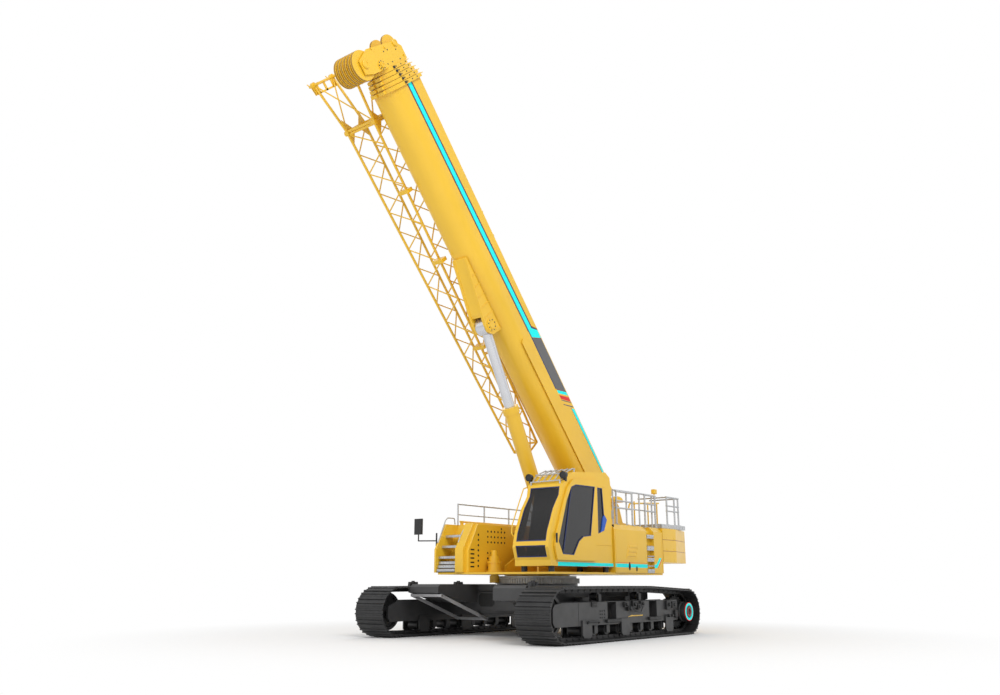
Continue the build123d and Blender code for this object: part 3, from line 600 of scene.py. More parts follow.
for side in (1, -1):
    rows += boltCircle(lastS + 0.09, 0.316, -0.42, 0.077, side, 0.2)
    rows += [(boomPoint(lastS + ds, side * 0.299, h), (0, side, 0)) for ds, h in headFit["plateBolts"]]
addBolts("headBolts", rows, 0.011, "wornIron", "boom_5")
# painted shade in the bottoms of the sheave grooves, as thin dark ochre bands round each sheave
shape = bmesh.new()
sheaveRows = [(lastS + 0.23, -0.225 + i * 0.09, -0.85, 0.29) for i in range(6)]
sheaveRows += [(lastS + 0.36, side * 0.15, 0.25, 0.21) for side in (1, -1)]
for s, y, h, radius in sheaveRows:
    addRing(shape, (s, y, h), (0, 1, 0), radius + 0.002, radius - 0.006, -0.017, 0.017, 40)
addBoomPiece("grooveBands", shape, "paintedGrooveShade", "boom_5")
# cross bars between the plates of the head, which keep the ropes in
shape = bmesh.new()
for ds, h in headFit["crossBars"]:
    addTube(shape, [(lastS + ds, -0.32, h), (lastS + ds, 0.32, h)], 0.02, 12)
addBoomPiece("ropeKeepers", shape, "yellowPaint", "boom_5")


def edgeBand(outline, width):
    # four-sided strips that follow a closed outline on its outer side
    count = len(outline)
    area = sum(outline[i][0] * outline[(i + 1) % count][1] - outline[(i + 1) % count][0] * outline[i][1]
               for i in range(count))
    turn = 1 if area > 0 else -1
    outer = []
    for i in range(count):
        a, b, c = Vector(outline[i - 1]), Vector(outline[i]), Vector(outline[(i + 1) % count])
        u, v = (b - a).normalized(), (c - b).normalized()
        out = Vector((u.y + v.y, -u.x - v.x)).normalized() * turn
        outer.append(tuple(b + out * (width / max(0.4, cos(u.angle(v) / 2)))))
    return [[outline[i], outline[(i + 1) % count], outer[(i + 1) % count], outer[i]] for i in range(count)]


print("tracks")
trackLoop = {
    "shoeCount": 60, "shoeWidth": 0.76, "plate": 0.022, "lug": 0.024, "linkY": 0.088, "trackY": 2.0, "inset": 0.046,
    # x, z and radius to the lug tips of each wheel that the track bends round
    "wheels": [(2.455, 0.50, 0.488), (-2.24, 0.464, 0.466), (-1.8, 0.211, 0.211), (2.0, 0.211, 0.211),
               (-0.6, 0.805, 0.191), (0.9, 0.805, 0.191)],
}


def trackPath():
    # the outline of a belt pulled taut round the wheels
    inset = trackLoop["inset"]
    points = sorted((x + (r - inset) * cos(pi * i / 90), z + (r - inset) * sin(pi * i / 90))
                    for x, z, r in trackLoop["wheels"] for i in range(180))

    def halfHull(rows):
        kept = []
        for p in rows:
            while len(kept) > 1 and ((kept[-1][0] - kept[-2][0]) * (p[1] - kept[-2][1])
                                     - (kept[-1][1] - kept[-2][1]) * (p[0] - kept[-2][0])) <= 0:
                kept.pop()
            kept.append(p)
        return kept[:-1]
    return halfHull(points) + halfHull(points[::-1])


def makeTrackTree():
    # one shoe with its links and bolts at even steps along the path
    tree, given = newTree("trackTree", [("Shoe count", "int"), ("Shoe", "object"), ("Finish", "material")])
    curve = addNode(tree, "GeometryNodeMeshToCurve", [(given.outputs["Geometry"], "Mesh")])
    steps = addNode(tree, "GeometryNodeResampleCurve", [(curve.outputs[0], "Curve"),
                                                        (given.outputs["Shoe count"], "Count")])
    way = addNode(tree, "GeometryNodeInputTangent")
    turn = addNode(tree, "FunctionNodeAlignRotationToVector", [(way.outputs[0], "Vector")], axis="X", pivot_axis="Y")
    item = addNode(tree, "GeometryNodeObjectInfo", [(given.outputs["Shoe"], "Object")])
    return closeTree(tree, given, steps.outputs[0], item.outputs["Geometry"], turn)


def trackShoe(pitch):
    # local x along the track, z inwards
    shape = bmesh.new()
    plate, lug, half = trackLoop["plate"], trackLoop["lug"], pitch / 2
    profile = [(-half - 0.012, 0.002), (half - 0.006, 0.002), (half - 0.002, -0.008), (half - 0.012, -plate),
               (0.29 * pitch, -plate), (0.26 * pitch, -plate - lug), (0.17 * pitch, -plate - lug),
               (0.13 * pitch, -plate), (-0.13 * pitch, -plate), (-0.17 * pitch, -plate - lug),
               (-0.26 * pitch, -plate - lug), (-0.30 * pitch, -plate), (-half + 0.006, -plate),
               (-half - 0.012, -0.010)]
    sidePlate(shape, profile, -trackLoop["shoeWidth"] / 2, trackLoop["shoeWidth"] / 2, 0.004)
    for side in (1, -1):
        y = side * trackLoop["linkY"]
        link = [(-half - 0.03, 0.012), (-half + 0.03, 0.0), (half - 0.03, 0.0), (half + 0.03, 0.012),
                (half + 0.036, 0.04), (half + 0.01, 0.066), (-half - 0.01, 0.066), (-half - 0.036, 0.04)]
        middle = y + side * 0.012
        sidePlate(shape, link, middle - 0.012, middle + 0.012)
        addRound(shape, [(0.026, -0.03), (0.026, 0.018), (0.018, 0.022)], (half, middle, 0.04), (0, side, 0), 10)
        for x in (-0.045, 0.045):
            addRound(shape, [(0.014, 0.0), (0.014, 0.011), (0.008, 0.013)], (x, y, -plate), (0, 0, -1), 6)
    return shape


def addTracks():
    path = trackPath()
    length = sum(hypot(path[i][0] - path[i - 1][0], path[i][1] - path[i - 1][1]) for i in range(len(path)))
    tree = makeTrackTree()
    mesh = bpy.data.meshes.new("trackShoe")
    shape = trackShoe(length / trackLoop["shoeCount"])
    bmesh.ops.recalc_face_normals(shape, faces=shape.faces)
    shape.to_mesh(mesh)
    shape.free()
    for side, label in sideName.items():
        item = bpy.data.objects.new("trackShoe" + label, mesh)
        base = bpy.data.meshes.new("trackLine" + label)
        base.from_pydata([(x, side * trackLoop["trackY"], z) for x, z in path],
                         [(i, (i + 1) % len(path)) for i in range(len(path))], [])
        piece = growPiece("track" + label, tree, base, {"Shoe count": trackLoop["shoeCount"], "Shoe": item},
                          "trackIron", "undercarriage", 28)
        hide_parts("track_left" if side > 0 else "track_right")
        bpy.data.objects.remove(item)


addTracks()

print("track frames")
frameShape = {
    "half": 0.21, "plate": 0.045, "low": 0.30, "top": 0.715,
    "openings": ((-1.086, -0.774), (0.499, 0.811)),  # x of the two holes in the outer plate
    "holeLow": 0.395, "holeTop": 0.706,
    "core": ((-1.98, -1.086), (-0.774, 0.499), (0.811, 1.90)), "coreLow": 0.335, "coreTop": 0.700,
    "sprocket": (-2.24, 0.464, 0.26),  # x, z and radius of the round plate behind the sprocket
    "guards": (1.555, 0.205, -1.56), "guardHalf": 0.155,
}


def addTrackFrame(side):
    shape = bmesh.new()
    place = flank(side)
    y0, y1 = trackLoop["trackY"] - frameShape["half"], trackLoop["trackY"] + frameShape["half"]
    t, low, top = frameShape["plate"], frameShape["low"], frameShape["top"]
    coreLow, coreTop = frameShape["coreLow"], frameShape["coreTop"]
    addPlate(shape, rectangle(-1.98, coreLow, 1.90, coreTop), place, y0 + t, y1 - 0.15)
    for x0, x1 in frameShape["core"]:
        addPlate(shape, rectangle(x0, coreLow, x1, coreTop), place, y1 - 0.15, y1 - t)
    rear = [(-1.086, low), (-1.95, low), (-1.99, 0.35), (-1.99, 0.66), (-1.95, top), (-1.086, top)]
    middle = rectangle(-0.774, low, 0.499, top)
    front = [(0.811, low), (2.54, low), (2.60, 0.38), (2.60, 0.605), (2.54, 0.685), (2.30, top), (0.811, top)]
    for outline in (rear, middle, front):
        addPlate(shape, outline, place, y1 - t, y1, 0.004)
    for x0, x1 in frameShape["openings"]:
        addPlate(shape, rectangle(x0, low, x1, frameShape["holeLow"]), place, y1 - t, y1)
        addPlate(shape, rectangle(x0, frameShape["holeTop"], x1, top), place, y1 - t, y1)
    inner = [(2.54, low), (2.60, 0.38), (2.60, 0.605), (2.30, top), (-1.95, top), (-1.99, 0.35), (-1.95, low)]
    addPlate(shape, inner, place, y0, y0 + t)
    x, z, r = frameShape["sprocket"]
    addRound(shape, [(r, 0.0), (r, t)], (x, side * y0, z), (0, side, 0), 40)
    addPlate(shape, [(-2.24, 0.26), (-1.95, low), (-1.95, 0.66), (-2.24, 0.69)], place, y0, y0 + t)
    # tabs that hang beside the chain on both sides
    for x in frameShape["guards"]:
        r = frameShape["guardHalf"]
        tab = [(x - r, 0.40), (x - r, 0.13), (x - r + 0.05, 0.085), (x + r - 0.05, 0.085), (x + r, 0.13), (x + r, 0.40)]
        for a, b in ((y1, y1 + 0.03), (y0 - 0.03, y0)):
            addPlate(shape, tab, place, a, b, 0.004)
    piece = addPiece("trackFrame" + sideName[side], shape, "darkPaint", "undercarriage")
    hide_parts("track_frame_left" if side > 0 else "track_frame_right")


frameTrim = {
    "recess": 2.052, "face": 2.211,
    # small box, its lid, foot plates, hooks and two groups of valves: x and z of two corners, reach outwards
    "boxes": ((1.19, 0.625, 1.38, 0.715, 0.020), (1.21, 0.645, 1.36, 0.695, 0.028), (0.40, 0.335, 0.90, 0.395, 0.055),
              (-1.18, 0.335, -0.70, 0.395, 0.055), (0.14, 0.60, 0.24, 0.70, 0.045), (-0.02, 0.53, 0.12, 0.62, 0.055),
              (-0.20, 0.58, -0.06, 0.72, 0.050), (-0.34, 0.55, -0.24, 0.66, 0.060), (-0.50, 0.60, -0.38, 0.71, 0.045),
              (-1.62, 0.52, -1.44, 0.70, 0.050), (-1.84, 0.55, -1.66, 0.68, 0.062), (-1.92, 0.36, -1.80, 0.50, 0.050)),
    # x, z and radius of each round cap
    "caps": ((0.19, 0.65, 0.030), (0.05, 0.575, 0.036), (-0.13, 0.65, 0.034), (-0.29, 0.605, 0.028),
             (-0.44, 0.655, 0.026), (-1.53, 0.62, 0.036), (-1.75, 0.615, 0.036), (-1.50, 0.40, 0.030),
             (-1.64, 0.40, 0.026)),
    # a grip and a hose: x, z and reach of each point, then radius and sides
    "tubes": ((((1.56, 0.34, 0.02), (1.56, 0.37, 0.06), (1.18, 0.37, 0.06), (1.18, 0.34, 0.02)), 0.018, 8),
              (((-0.01, 0.60, 0.05), (-0.12, 0.52, 0.07), (-0.32, 0.50, 0.07), (-0.46, 0.60, 0.04)), 0.012, 6)),
    "boltX": (1.07, 1.00, 0.92), "boltZ": (0.43, 0.49, 0.55),
    "arrow": [(0.08, 0.418), (-0.10, 0.452), (-0.10, 0.443), (-0.51, 0.443), (-0.49, 0.425), (-0.08, 0.425)],
}


def addFrameTrim(side):
    place = flank(side)
    face = frameTrim["face"]
    # black sheets in the frame's two openings and along a thin gap: painted shade
    shape = bmesh.new()
    for x0, x1 in frameShape["openings"]:
        addPlate(shape, rectangle(x0, frameShape["holeLow"], x1, frameShape["holeTop"]), place, frameTrim["recess"],
                 frameTrim["recess"] + 0.012, 0.003)
    addPlate(shape, rectangle(1.797, 0.31, 1.803, 0.705), place, face - 0.004, face + 0.001)
    name = sideName[side]
    addPiece("frameOpenings" + name, shape, "paintedShadeBlack", "undercarriage")

    shape = bmesh.new()
    for x0, z0, x1, z1, out in frameTrim["boxes"]:
        addBlock(shape, (x0, side * face, z0), (x1, side * (face + out), z1), 0.008)
    for x, z, r in frameTrim["caps"]:
        addRound(shape, [(r, 0.03), (r, 0.075), (r * 0.7, 0.086)], (x, side * face, z), (0, side, 0), 14)
    for points, radius, sides in frameTrim["tubes"]:
        addTube(shape, bentLine([place(x, z, face + out) for x, z, out in points], 0.03), radius, sides)
    addPiece("frameFittings" + name, shape, "trackIron", "undercarriage")
    rows = [((x, side * face, z), (0, side, 0)) for x in frameTrim["boltX"] for z in frameTrim["boltZ"]]
    addBolts("frameBolts" + name, rows, 0.012, "trackIron", "undercarriage")
    shape = bmesh.new()
    addPlate(shape, frameTrim["arrow"], place, face - 0.002, face + 0.002)
    addPiece("arrowBar" + name, shape, "yellowPaint", "undercarriage")


hubTrim = {
    "x": -2.24, "z": 0.464, "y": 2.16,
    # finish, outer and inner radius and reach of each painted ring
    "rings": (("cyanBand", 0.175, 0.128, 0.192), ("redBand", 0.188, 0.175, 0.19), ("rustLine", 0.104, 0.062, 0.196)),
}


def addHubTrim(side):
    name = sideName[side]
    y = side * hubTrim["y"]
    shape = bmesh.new()
    addRound(shape, [(0.205, 0.0), (0.205, 0.05), (0.190, 0.062), (0.190, 0.170), (0.182, 0.186), (0.100, 0.186),
                     (0.096, 0.176), (0.0, 0.176)], (hubTrim["x"], y, hubTrim["z"]), (0, side, 0), 40)
    addPiece("hubCase" + name, shape, "trackIron", "undercarriage")
    for finish, outer, inner, along in hubTrim["rings"]:
        shape = bmesh.new()
        addRing(shape, (hubTrim["x"], y, hubTrim["z"]), (0, side, 0), outer, inner, 0.17, along, 40)
        addPiece("hub" + finish.capitalize() + name, shape, finish, "undercarriage")


for side in (1, -1):
    addTrackFrame(side)
    addFrameTrim(side)
    addHubTrim(side)

print("cab")
cabShape = {
    "windscreen": [(1.6234, 1.83), (1.58, 2.01), (1.37, 2.46), (1.17, 2.73), (1.1314, 2.90)],
    "lower": [(1.5867, 1.53), (1.643, 1.75)],
    "screenY": (0.676, 1.385), "skinY": 1.455,
    "quarter": [(-0.14, 2.97), (-0.33, 2.97), (-0.38, 2.43), (-0.49, 2.33), (-0.37, 2.10), (-0.14, 2.03)],
    "door": [(0.89, 2.90), (0.73, 2.96), (0.02, 2.97), (0.21, 1.97), (0.48, 1.94), (0.64, 1.85), (0.84, 1.58),
             (1.22, 1.59)],
    "line": 0.018,
}


def frontBand(shape, points, near, far, y0, y1):
    # a band behind the cab's front line, between two depths
    sidePlate(shape, [(x - near, z) for x, z in points] + [(x - far, z) for x, z in points[::-1]], y0, y1)


def addCabGlass():
    y0, y1 = cabShape["screenY"]
    for name, part in (("windscreen", "windscreen"), ("lowerScreen", "lower")):
        shape = bmesh.new()
        frontBand(shape, cabShape[part], 0.014, 0.022, y0 - 0.004, y1 + 0.004)
        addPiece(name, shape, "frontGlass", "superstructure")
    line = cabShape["line"]
    shape = bmesh.new()
    for points in (cabShape["windscreen"], cabShape["lower"]):
        for a, b in ((y0 - 0.002, y0 + line), (y1 - line, y1 + 0.002)):
            frontBand(shape, points, 0.006, 0.015, a, b)
        for first, second in ((points[0], points[1]), (points[-1], points[-2])):
            share = 0.022 / abs(second[1] - first[1])
            near = (first[0] + (second[0] - first[0]) * share, first[1] + (second[1] - first[1]) * share)
            frontBand(shape, [first, near], 0.0055, 0.015, y0, y1)
    for strip in edgeBand(cabShape["quarter"], -line):
        sidePlate(shape, strip, cabShape["skinY"] - 0.012, cabShape["skinY"] + 0.0015)
    addPiece("paneLines", shape, "navyLine", "superstructure")
    shape = bmesh.new()
    for strip in edgeBand(cabShape["door"], -line):
        sidePlate(shape, strip, 1.488, 1.5015)
    addPiece("doorPaneLine", shape, "navyLine", "cab_door")
    shape = bmesh.new()
    sidePlate(shape, cabShape["quarter"], 1.428, 1.438)
    sidePlate(shape, cabShape["door"], 0.620, 0.630)
    crossPlate(shape, rectangle(0.72, 2.30, 1.34, 2.95), -0.688, -0.680)
    addPiece("sidePanes", shape, "tintedGlass", "superstructure")
    shape = bmesh.new()
    sidePlate(shape, [(-0.22, 2.055), (-0.365, 2.10), (-0.485, 2.33), (-0.385, 2.42), (-0.33, 2.36), (-0.27, 2.12)],
              1.438, 1.4575)
    addPiece("quarterAccent", shape, "blueBand", "superstructure")


addCabGlass()

cabTrim = {
    # x and z where the bars of the roof guard start, lean on the middle rail and end
    "bars": 6, "barLow": (1.11, 3.005), "barMiddle": (0.93, 3.163), "barHigh": (0.60, 3.27),
    "lampBody": [(0.03, -0.07), (0.062, -0.045), (0.075, 0.03), (0.075, 0.055), (0.066, 0.055), (0.06, 0.045),
                 (0.0, 0.05)],
    "handRod": [(1.10, 0.58, 2.93), (1.22, 0.565, 2.89), (1.42, 0.56, 2.50), (1.60, 0.565, 2.16), (1.635, 0.575, 1.98),
                (1.58, 0.60, 1.93)],
    # name, finish, front x, low and top z, inner and outer y
    "stripes": (("cabStripe", "cyanBand", 1.33, 1.37, 1.445, 1.4545, 1.4575),
                ("cabStripeLine", "redBand", 0.30, 1.372, 1.380, 1.4570, 1.4585)),
}


def addCabTrim():
    shape = bmesh.new()
    low, middle, high = cabTrim["barLow"], cabTrim["barMiddle"], cabTrim["barHigh"]
    for i in range(cabTrim["bars"]):
        y = 0.68 + 0.135 * i
        addTube(shape, [(low[0], y + 0.03, low[1] + 0.02), (0.93, y + 0.02, 3.18), (high[0], y, high[1] + 0.03)],
                0.013)
    for x, z in (low, middle, high):
        addTube(shape, [(x, 0.66, z + 0.015), (x, 1.40, z + 0.015)], 0.014)
    for y in (0.68, 1.38):
        for x, z in (low, high):
            addRound(shape, [(0.016, -0.05), (0.016, 0.02)], (x, y, z), (0, 0, 1), 8)
    addPiece("roofGuard", shape, "railSteel", "superstructure")
    shape = bmesh.new()
    for y in (0.60, 1.44):
        addRound(shape, cabTrim["lampBody"], (1.05, y, 3.125), (1, 0, -0.1))
        addBlock(shape, (0.99, y - 0.03, 3.00), (1.05, y + 0.03, 3.09), 0.006)
    addBlock(shape, (1.02, 1.34, 2.56), (1.118, 1.42, 2.93), 0.02)
    addPiece("roofLamps", shape, "blackPlastic", "superstructure")
    shape = bmesh.new()
    addTube(shape, bentLine(cabTrim["handRod"], 0.05), 0.012)
    addPiece("cabHandRod", shape, "yellowPaint", "superstructure")
    shape = bmesh.new()
    sidePlate(shape, rectangle(0.10, 1.800, -0.66, 1.814), 1.452, 1.462, 0.003)
    sidePlate(shape, rectangle(1.10, 2.99, -0.50, 3.004), 1.452, 1.461, 0.003)
    addPiece("cabSeams", shape, "yellowPaint", "superstructure")
    shape = bmesh.new()
    addBlock(shape, (1.395, 1.498, 1.80), (1.455, 1.506, 1.98), 0.003)
    addBlock(shape, (1.41, 1.505, 1.85), (1.44, 1.512, 1.96), 0.003)
    addPiece("doorHandle", shape, "blackPlastic", "cab_door")
    for name, finish, x, z0, z1, y0, y1 in cabTrim["stripes"]:
        shape = bmesh.new()
        sidePlate(shape, rectangle(x, z0, -0.688, z1), y0, y1)
        addPiece(name, shape, finish, "superstructure")


addCabTrim()

print("housings")
leftHouse = {
    "y0": 0.64, "y1": 1.50, "front": -0.71, "rear": -2.78, "low": 1.26, "top": 2.262, "bevel": 0.11,
    "niche": (-2.05, -2.37, 0.09),  # x of its two sides and its depth
    "cut": -1.12,  # x where the front slice with its bevelled edge ends
    "ribs": (1.60, 1.69, 1.78), "treads": (1.30, 1.54, 1.78, 2.04),
    "louvreLine": [(-1.17, 1.565), (-1.55, 1.565), (-1.66, 1.87), (-1.26, 1.87)],
    # name, finish, how far proud, front part and rear part of each stripe
    "stripes": (("housingStripe", "cyanBand", 0.0015, rectangle(-0.712, 1.37, -2.048, 1.445),
                 [(-2.372, 1.37), (-2.49, 1.37), (-2.70, 1.59), (-2.60, 1.59), (-2.45, 1.445), (-2.372, 1.445)]),
                ("housingStripeLine", "redBand", 0.0018, rectangle(-0.712, 1.464, -2.048, 1.473),
                 [(-2.52, 1.37), (-2.54, 1.37), (-2.735, 1.575), (-2.715, 1.575)])),
}


def addLeftHousing():
    shape = bmesh.new()
    y0, y1, b = leftHouse["y0"], leftHouse["y1"], leftHouse["bevel"]
    low, top = leftHouse["low"], leftHouse["top"]
    nicheX, nicheEnd, depth = leftHouse["niche"]
    # slices along x: front, ladder niche and rear
    for x0, x1, outer in ((leftHouse["front"], nicheX, y1), (nicheX, nicheEnd, y1 - depth),
                          (nicheEnd, leftHouse["rear"], y1)):
        section = [(y0, low), (outer, low), (outer, top - b), (outer - b, top), (y0, top)]
        if x0 == leftHouse["front"]:
            crossPlate(shape, section, leftHouse["cut"], x0, 0.004)
            crossPlate(shape, section, x1, leftHouse["cut"])
        else:
            crossPlate(shape, section, x1, x0)
    piece = addPiece("leftHousing", shape, "yellowPaint", "superstructure")
    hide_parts("left_housing")
    shape = bmesh.new()
    # louvre of three pressed ribs and the thin frame round it
    for z in leftHouse["ribs"]:
        lean = 0.035 * (z - 1.60) / 0.09
        sidePlate(shape, [(-1.21 - lean, z), (-1.55 - lean, z), (-1.57 - lean, z + 0.05), (-1.23 - lean, z + 0.05)],
                  y1 - 0.002, y1 + 0.012, 0.005)
    for strip in edgeBand(leftHouse["louvreLine"], 0.012):
        sidePlate(shape, strip, y1 - 0.002, y1 + 0.004)
    for x in (-0.745, -2.74):
        sidePlate(shape, rectangle(x - 0.006, 1.30, x + 0.006, 2.12), y1 - 0.002, y1 + 0.004)
    addPiece("housingLouvre", shape, "yellowPaint", "superstructure")
    # black ovals and a slot on the housing: painted shade in its holes
    shape = bmesh.new()
    for x, z, rx, rz in ((-1.28, 1.395, 0.040, 0.085), (-1.58, 1.345, 0.030, 0.055)):
        sidePlate(shape, ovalLine(x, z, rx, rz, 24), y1 - 0.002, y1 + 0.0032)
    sidePlate(shape, rectangle(-0.745, 2.165, -0.715, 2.245), y1 - 0.12, y1 - 0.035)
    addPiece("housingHoles", shape, "paintedShadeBlack", "superstructure")
    for name, finish, proud, *outlines in leftHouse["stripes"]:
        shape = bmesh.new()
        for outline in outlines:
            sidePlate(shape, outline, y1 - 0.002, y1 + proud)
        addPiece(name, shape, finish, "superstructure")
    shape = bmesh.new()
    for z in leftHouse["treads"]:
        addBlock(shape, (-2.36, y1 - depth, z), (-2.06, y1 + 0.012, z + 0.045))
        addBlock(shape, (-2.36, y1 - 0.012, z - 0.035), (-2.06, y1 + 0.004, z + 0.002), 0.003)
    addPiece("ladderTreads", shape, "railSteel", "superstructure")


addLeftHousing()


rightHouse = {
    "rear": -2.70, "low": 1.26, "top": 2.262, "front": 1.58, "treads": (1.56, 1.78, 2.00),
    "outer": -1.50, "stair": (-1.455, -0.93), "inner": (-0.72, -0.64),  # y of the walls and of the stair between them
    "holeRows": (2.10, 1.99, 1.88, 1.66, 1.55, 1.36), "wall": (-0.645, -0.6385), "pipeY": -1.42,
}


def addRightHousing():
    low, top, rear, front = rightHouse["low"], rightHouse["top"], rightHouse["rear"], rightHouse["front"]
    stairY, stairEnd = rightHouse["stair"]
    wallY, wallEnd = rightHouse["inner"]
    full = [(rear, low), (front, low), (front, 1.73), (1.26, top), (rear, top)]
    niche = [(rear, low), (1.25, low), (0.89, top), (rear, top)]
    shape = bmesh.new()
    sidePlate(shape, full, rightHouse["outer"], stairY, 0.004)
    sidePlate(shape, niche, stairY, stairEnd)
    sidePlate(shape, full, stairEnd, wallY, 0.004)
    inner = [(rear, low), (1.50, low), (1.50, 1.70), (1.20, top - 0.02), (rear, top - 0.02)]
    sidePlate(shape, inner, wallY, wallEnd, 0.004)
    piece = addPiece("rightHousing", shape, "yellowPaint", "superstructure")
    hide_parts("right_housing")

    shape = bmesh.new()
    for i, z in enumerate(rightHouse["treads"]):
        x = 1.50 - 0.11 * i
        addBlock(shape, (x - 0.20, stairY, z), (x, stairEnd, z + 0.03))
        addBlock(shape, (x - 0.012, stairY, z - 0.02), (x + 0.004, stairEnd, z + 0.03), 0.003)
    for i in range(3):
        addBlock(shape, (1.24, -1.45, 1.275 + 0.075 * i), (1.56 - 0.03 * i, -0.96, 1.335 + 0.075 * i), 0.006)
    addPiece("stairTreads", shape, "railSteel", "superstructure")
    shape = bmesh.new()
    for y, top in ((-1.478, 2.40), (-0.915, 2.262)):
        addTube(shape, bentLine([(1.50, y, 1.86), (1.44, y, 1.98), (1.27, y, top - 0.06), (1.20, y, top),
                                 (0.98, y, top), (0.96, y, top - 0.13)], 0.04), 0.013)
    addPiece("stairLoops", shape, "railSteel", "superstructure")

    # black slots and dots on the inner wall: painted shade in its holes
    shape = bmesh.new()

    def dot(x, z, rx, rz):
        sidePlate(shape, ovalLine(x, z, rx, rz, 12), *rightHouse["wall"])
    for i in range(5):
        sidePlate(shape, rectangle(1.31, 1.36 + 0.085 * i, 1.43, 1.39 + 0.085 * i), *rightHouse["wall"])
    for i in range(7):
        dot(1.18, 1.39 + 0.105 * i, 0.024, 0.024)
    for row, z in enumerate(rightHouse["holeRows"]):
        for column in range(6 if row < 3 else 3):
            dot(0.87 - 0.115 * column, z, 0.022, 0.022)
    dot(0.41, 2.17, 0.022, 0.022)
    dot(-0.05, 2.06, 0.03, 0.06)
    addPiece("wallHoles", shape, "paintedShadeBlack", "superstructure")

    shape = bmesh.new()
    y = rightHouse["pipeY"]
    for x in (0.80, 0.0, -0.80, -1.60):
        addBlock(shape, (x - 0.04, y - 0.02, 2.25), (x + 0.04, y + 0.02, 2.335), 0.006)
    addTube(shape, [(0.86, y, 2.335), (-1.70, y, 2.335)], 0.022, 10)
    addPiece("roofPipes", shape, "yellowPaint", "superstructure")


addRightHousing()

print("rails and winches")
railShape = {
    "groups": [((-1.04, -1.71), 2.262, 2.97), ((-2.28, -2.75), 2.262, 2.98), ((-3.32, -3.69, -3.88), 2.36, 3.00)],
    "y": 1.36, "radius": 0.022,
}


def addRails():
    shape = bmesh.new()
    y, r = railShape["y"], railShape["radius"]
    for posts, low, top in railShape["groups"]:
        for x in posts:
            addTube(shape, [(x, y, low - 0.01), (x, y, top)], r)
            addBlock(shape, (x - 0.045, y - 0.045, low - 0.004), (x + 0.045, y + 0.045, low + 0.012), 0.003)
        for z in (top, top - 0.20, (low + top) / 2):
            addTube(shape, [(posts[0] + 0.03, y, z), (posts[-1] - 0.03, y, z)], r * (1 if z == top else 0.8))
    for x in (-3.32, -3.88):
        addTube(shape, [(x, y, 3.0), (x, 0.60, 3.0)], r * 0.9)
    addBlock(shape, (-4.05, 0.56, 2.262), (-2.90, 1.44, 2.36), 0.006)
    for i in range(14):
        x = -3.99 + 0.08 * i
        addBlock(shape, (x, 0.60, 2.355), (x + 0.03, 1.40, 2.366), 0.002)
    addPiece("deckRails", shape, "railSteel", "superstructure")
    shape = bmesh.new()
    addTube(shape, [(-3.03, 1.20, 2.36), (-3.03, 1.20, 3.07)], 0.012)
    addBlock(shape, (-3.09, 1.15, 3.06), (-2.97, 1.25, 3.17), 0.012)
    addTube(shape, bentLine([(-2.82, 0.62, 2.72), (-2.88, 0.62, 2.86), (-3.40, 0.62, 2.90), (-4.30, 0.62, 2.96)], 0.06),
            0.020)
    for x in (-3.10, -3.75, -4.20):
        addTube(shape, [(x, 0.62, 2.24), (x, 0.62, 2.93)], 0.018)
        addBlock(shape, (x - 0.05, 0.57, 2.24), (x + 0.05, 0.67, 2.275), 0.006)
    addRound(shape, [(0.15, 0.0), (0.15, 0.05), (0.13, 0.09), (0.09, 0.125), (0.04, 0.14), (0.0, 0.143)],
             (-2.40, 0.56, 2.86), (0, 0, 1), 20)
    addPiece("rearFittings", shape, "yellowPaint", "superstructure")
    shape = bmesh.new()
    addRound(shape, [(0.05, 0.0), (0.05, 0.05), (0.095, 0.06), (0.095, 0.10), (0.085, 0.112), (0.0, 0.116)],
             (-1.93, 0.60, 2.55), (0, 1, 0), 24)
    addBlock(shape, (-1.98, 0.56, 2.262), (-1.88, 0.64, 2.56), 0.01)
    addPiece("railDisc", shape, "paleSteel", "superstructure")


addRails()

weightShape = {"seams": (1.752, 2.004), "outline": [(-2.80, 1.50), (-3.43, 1.50), (-4.39, 1.24), (-4.45, 1.08)]}


def addWeightTrim():
    shape = bmesh.new()
    for side in (1, -1):
        for z in weightShape["seams"]:
            for a, b in zip(weightShape["outline"], weightShape["outline"][1:]):
                way = Vector((b[0] - a[0], b[1] - a[1])).normalized()
                out = Vector((way.y, -way.x)) * 0.0018
                strip = [(x + out.x, side * (y + abs(out.y))) for x, y in (a, b)]
                strip += [(x - out.x, side * (y - 0.01)) for x, y in (b, a)]
                planPlate(shape, strip, z - 0.005, z + 0.004)
    for z in weightShape["seams"]:
        addBlock(shape, (-4.4518, -1.08, z - 0.005), (-4.44, 1.08, z + 0.004), 0.0)
    addPiece("weightSeams", shape, "rustLine", "superstructure")
    shape = bmesh.new()
    for side in (1, -1):
        for x in (-3.0, -3.34):
            for z in (1.50, 1.752, 2.004):
                sidePlate(shape, rectangle(x - 0.03, z + 0.02, x + 0.03, z + 0.06), *span(side, 1.494, 1.504), 0.003)
        addTube(shape, bentLine([(-3.70, side * 0.90, 2.25), (-3.70, side * 0.90, 2.33), (-3.84, side * 0.90, 2.33),
                                 (-3.84, side * 0.90, 2.25)], 0.03), 0.016)
    addPiece("weightHooks", shape, "yellowPaint", "superstructure")


addWeightTrim()

drumShape = {"half": 0.27, "radius": 0.19, "layer": 0.034, "turns": 20}


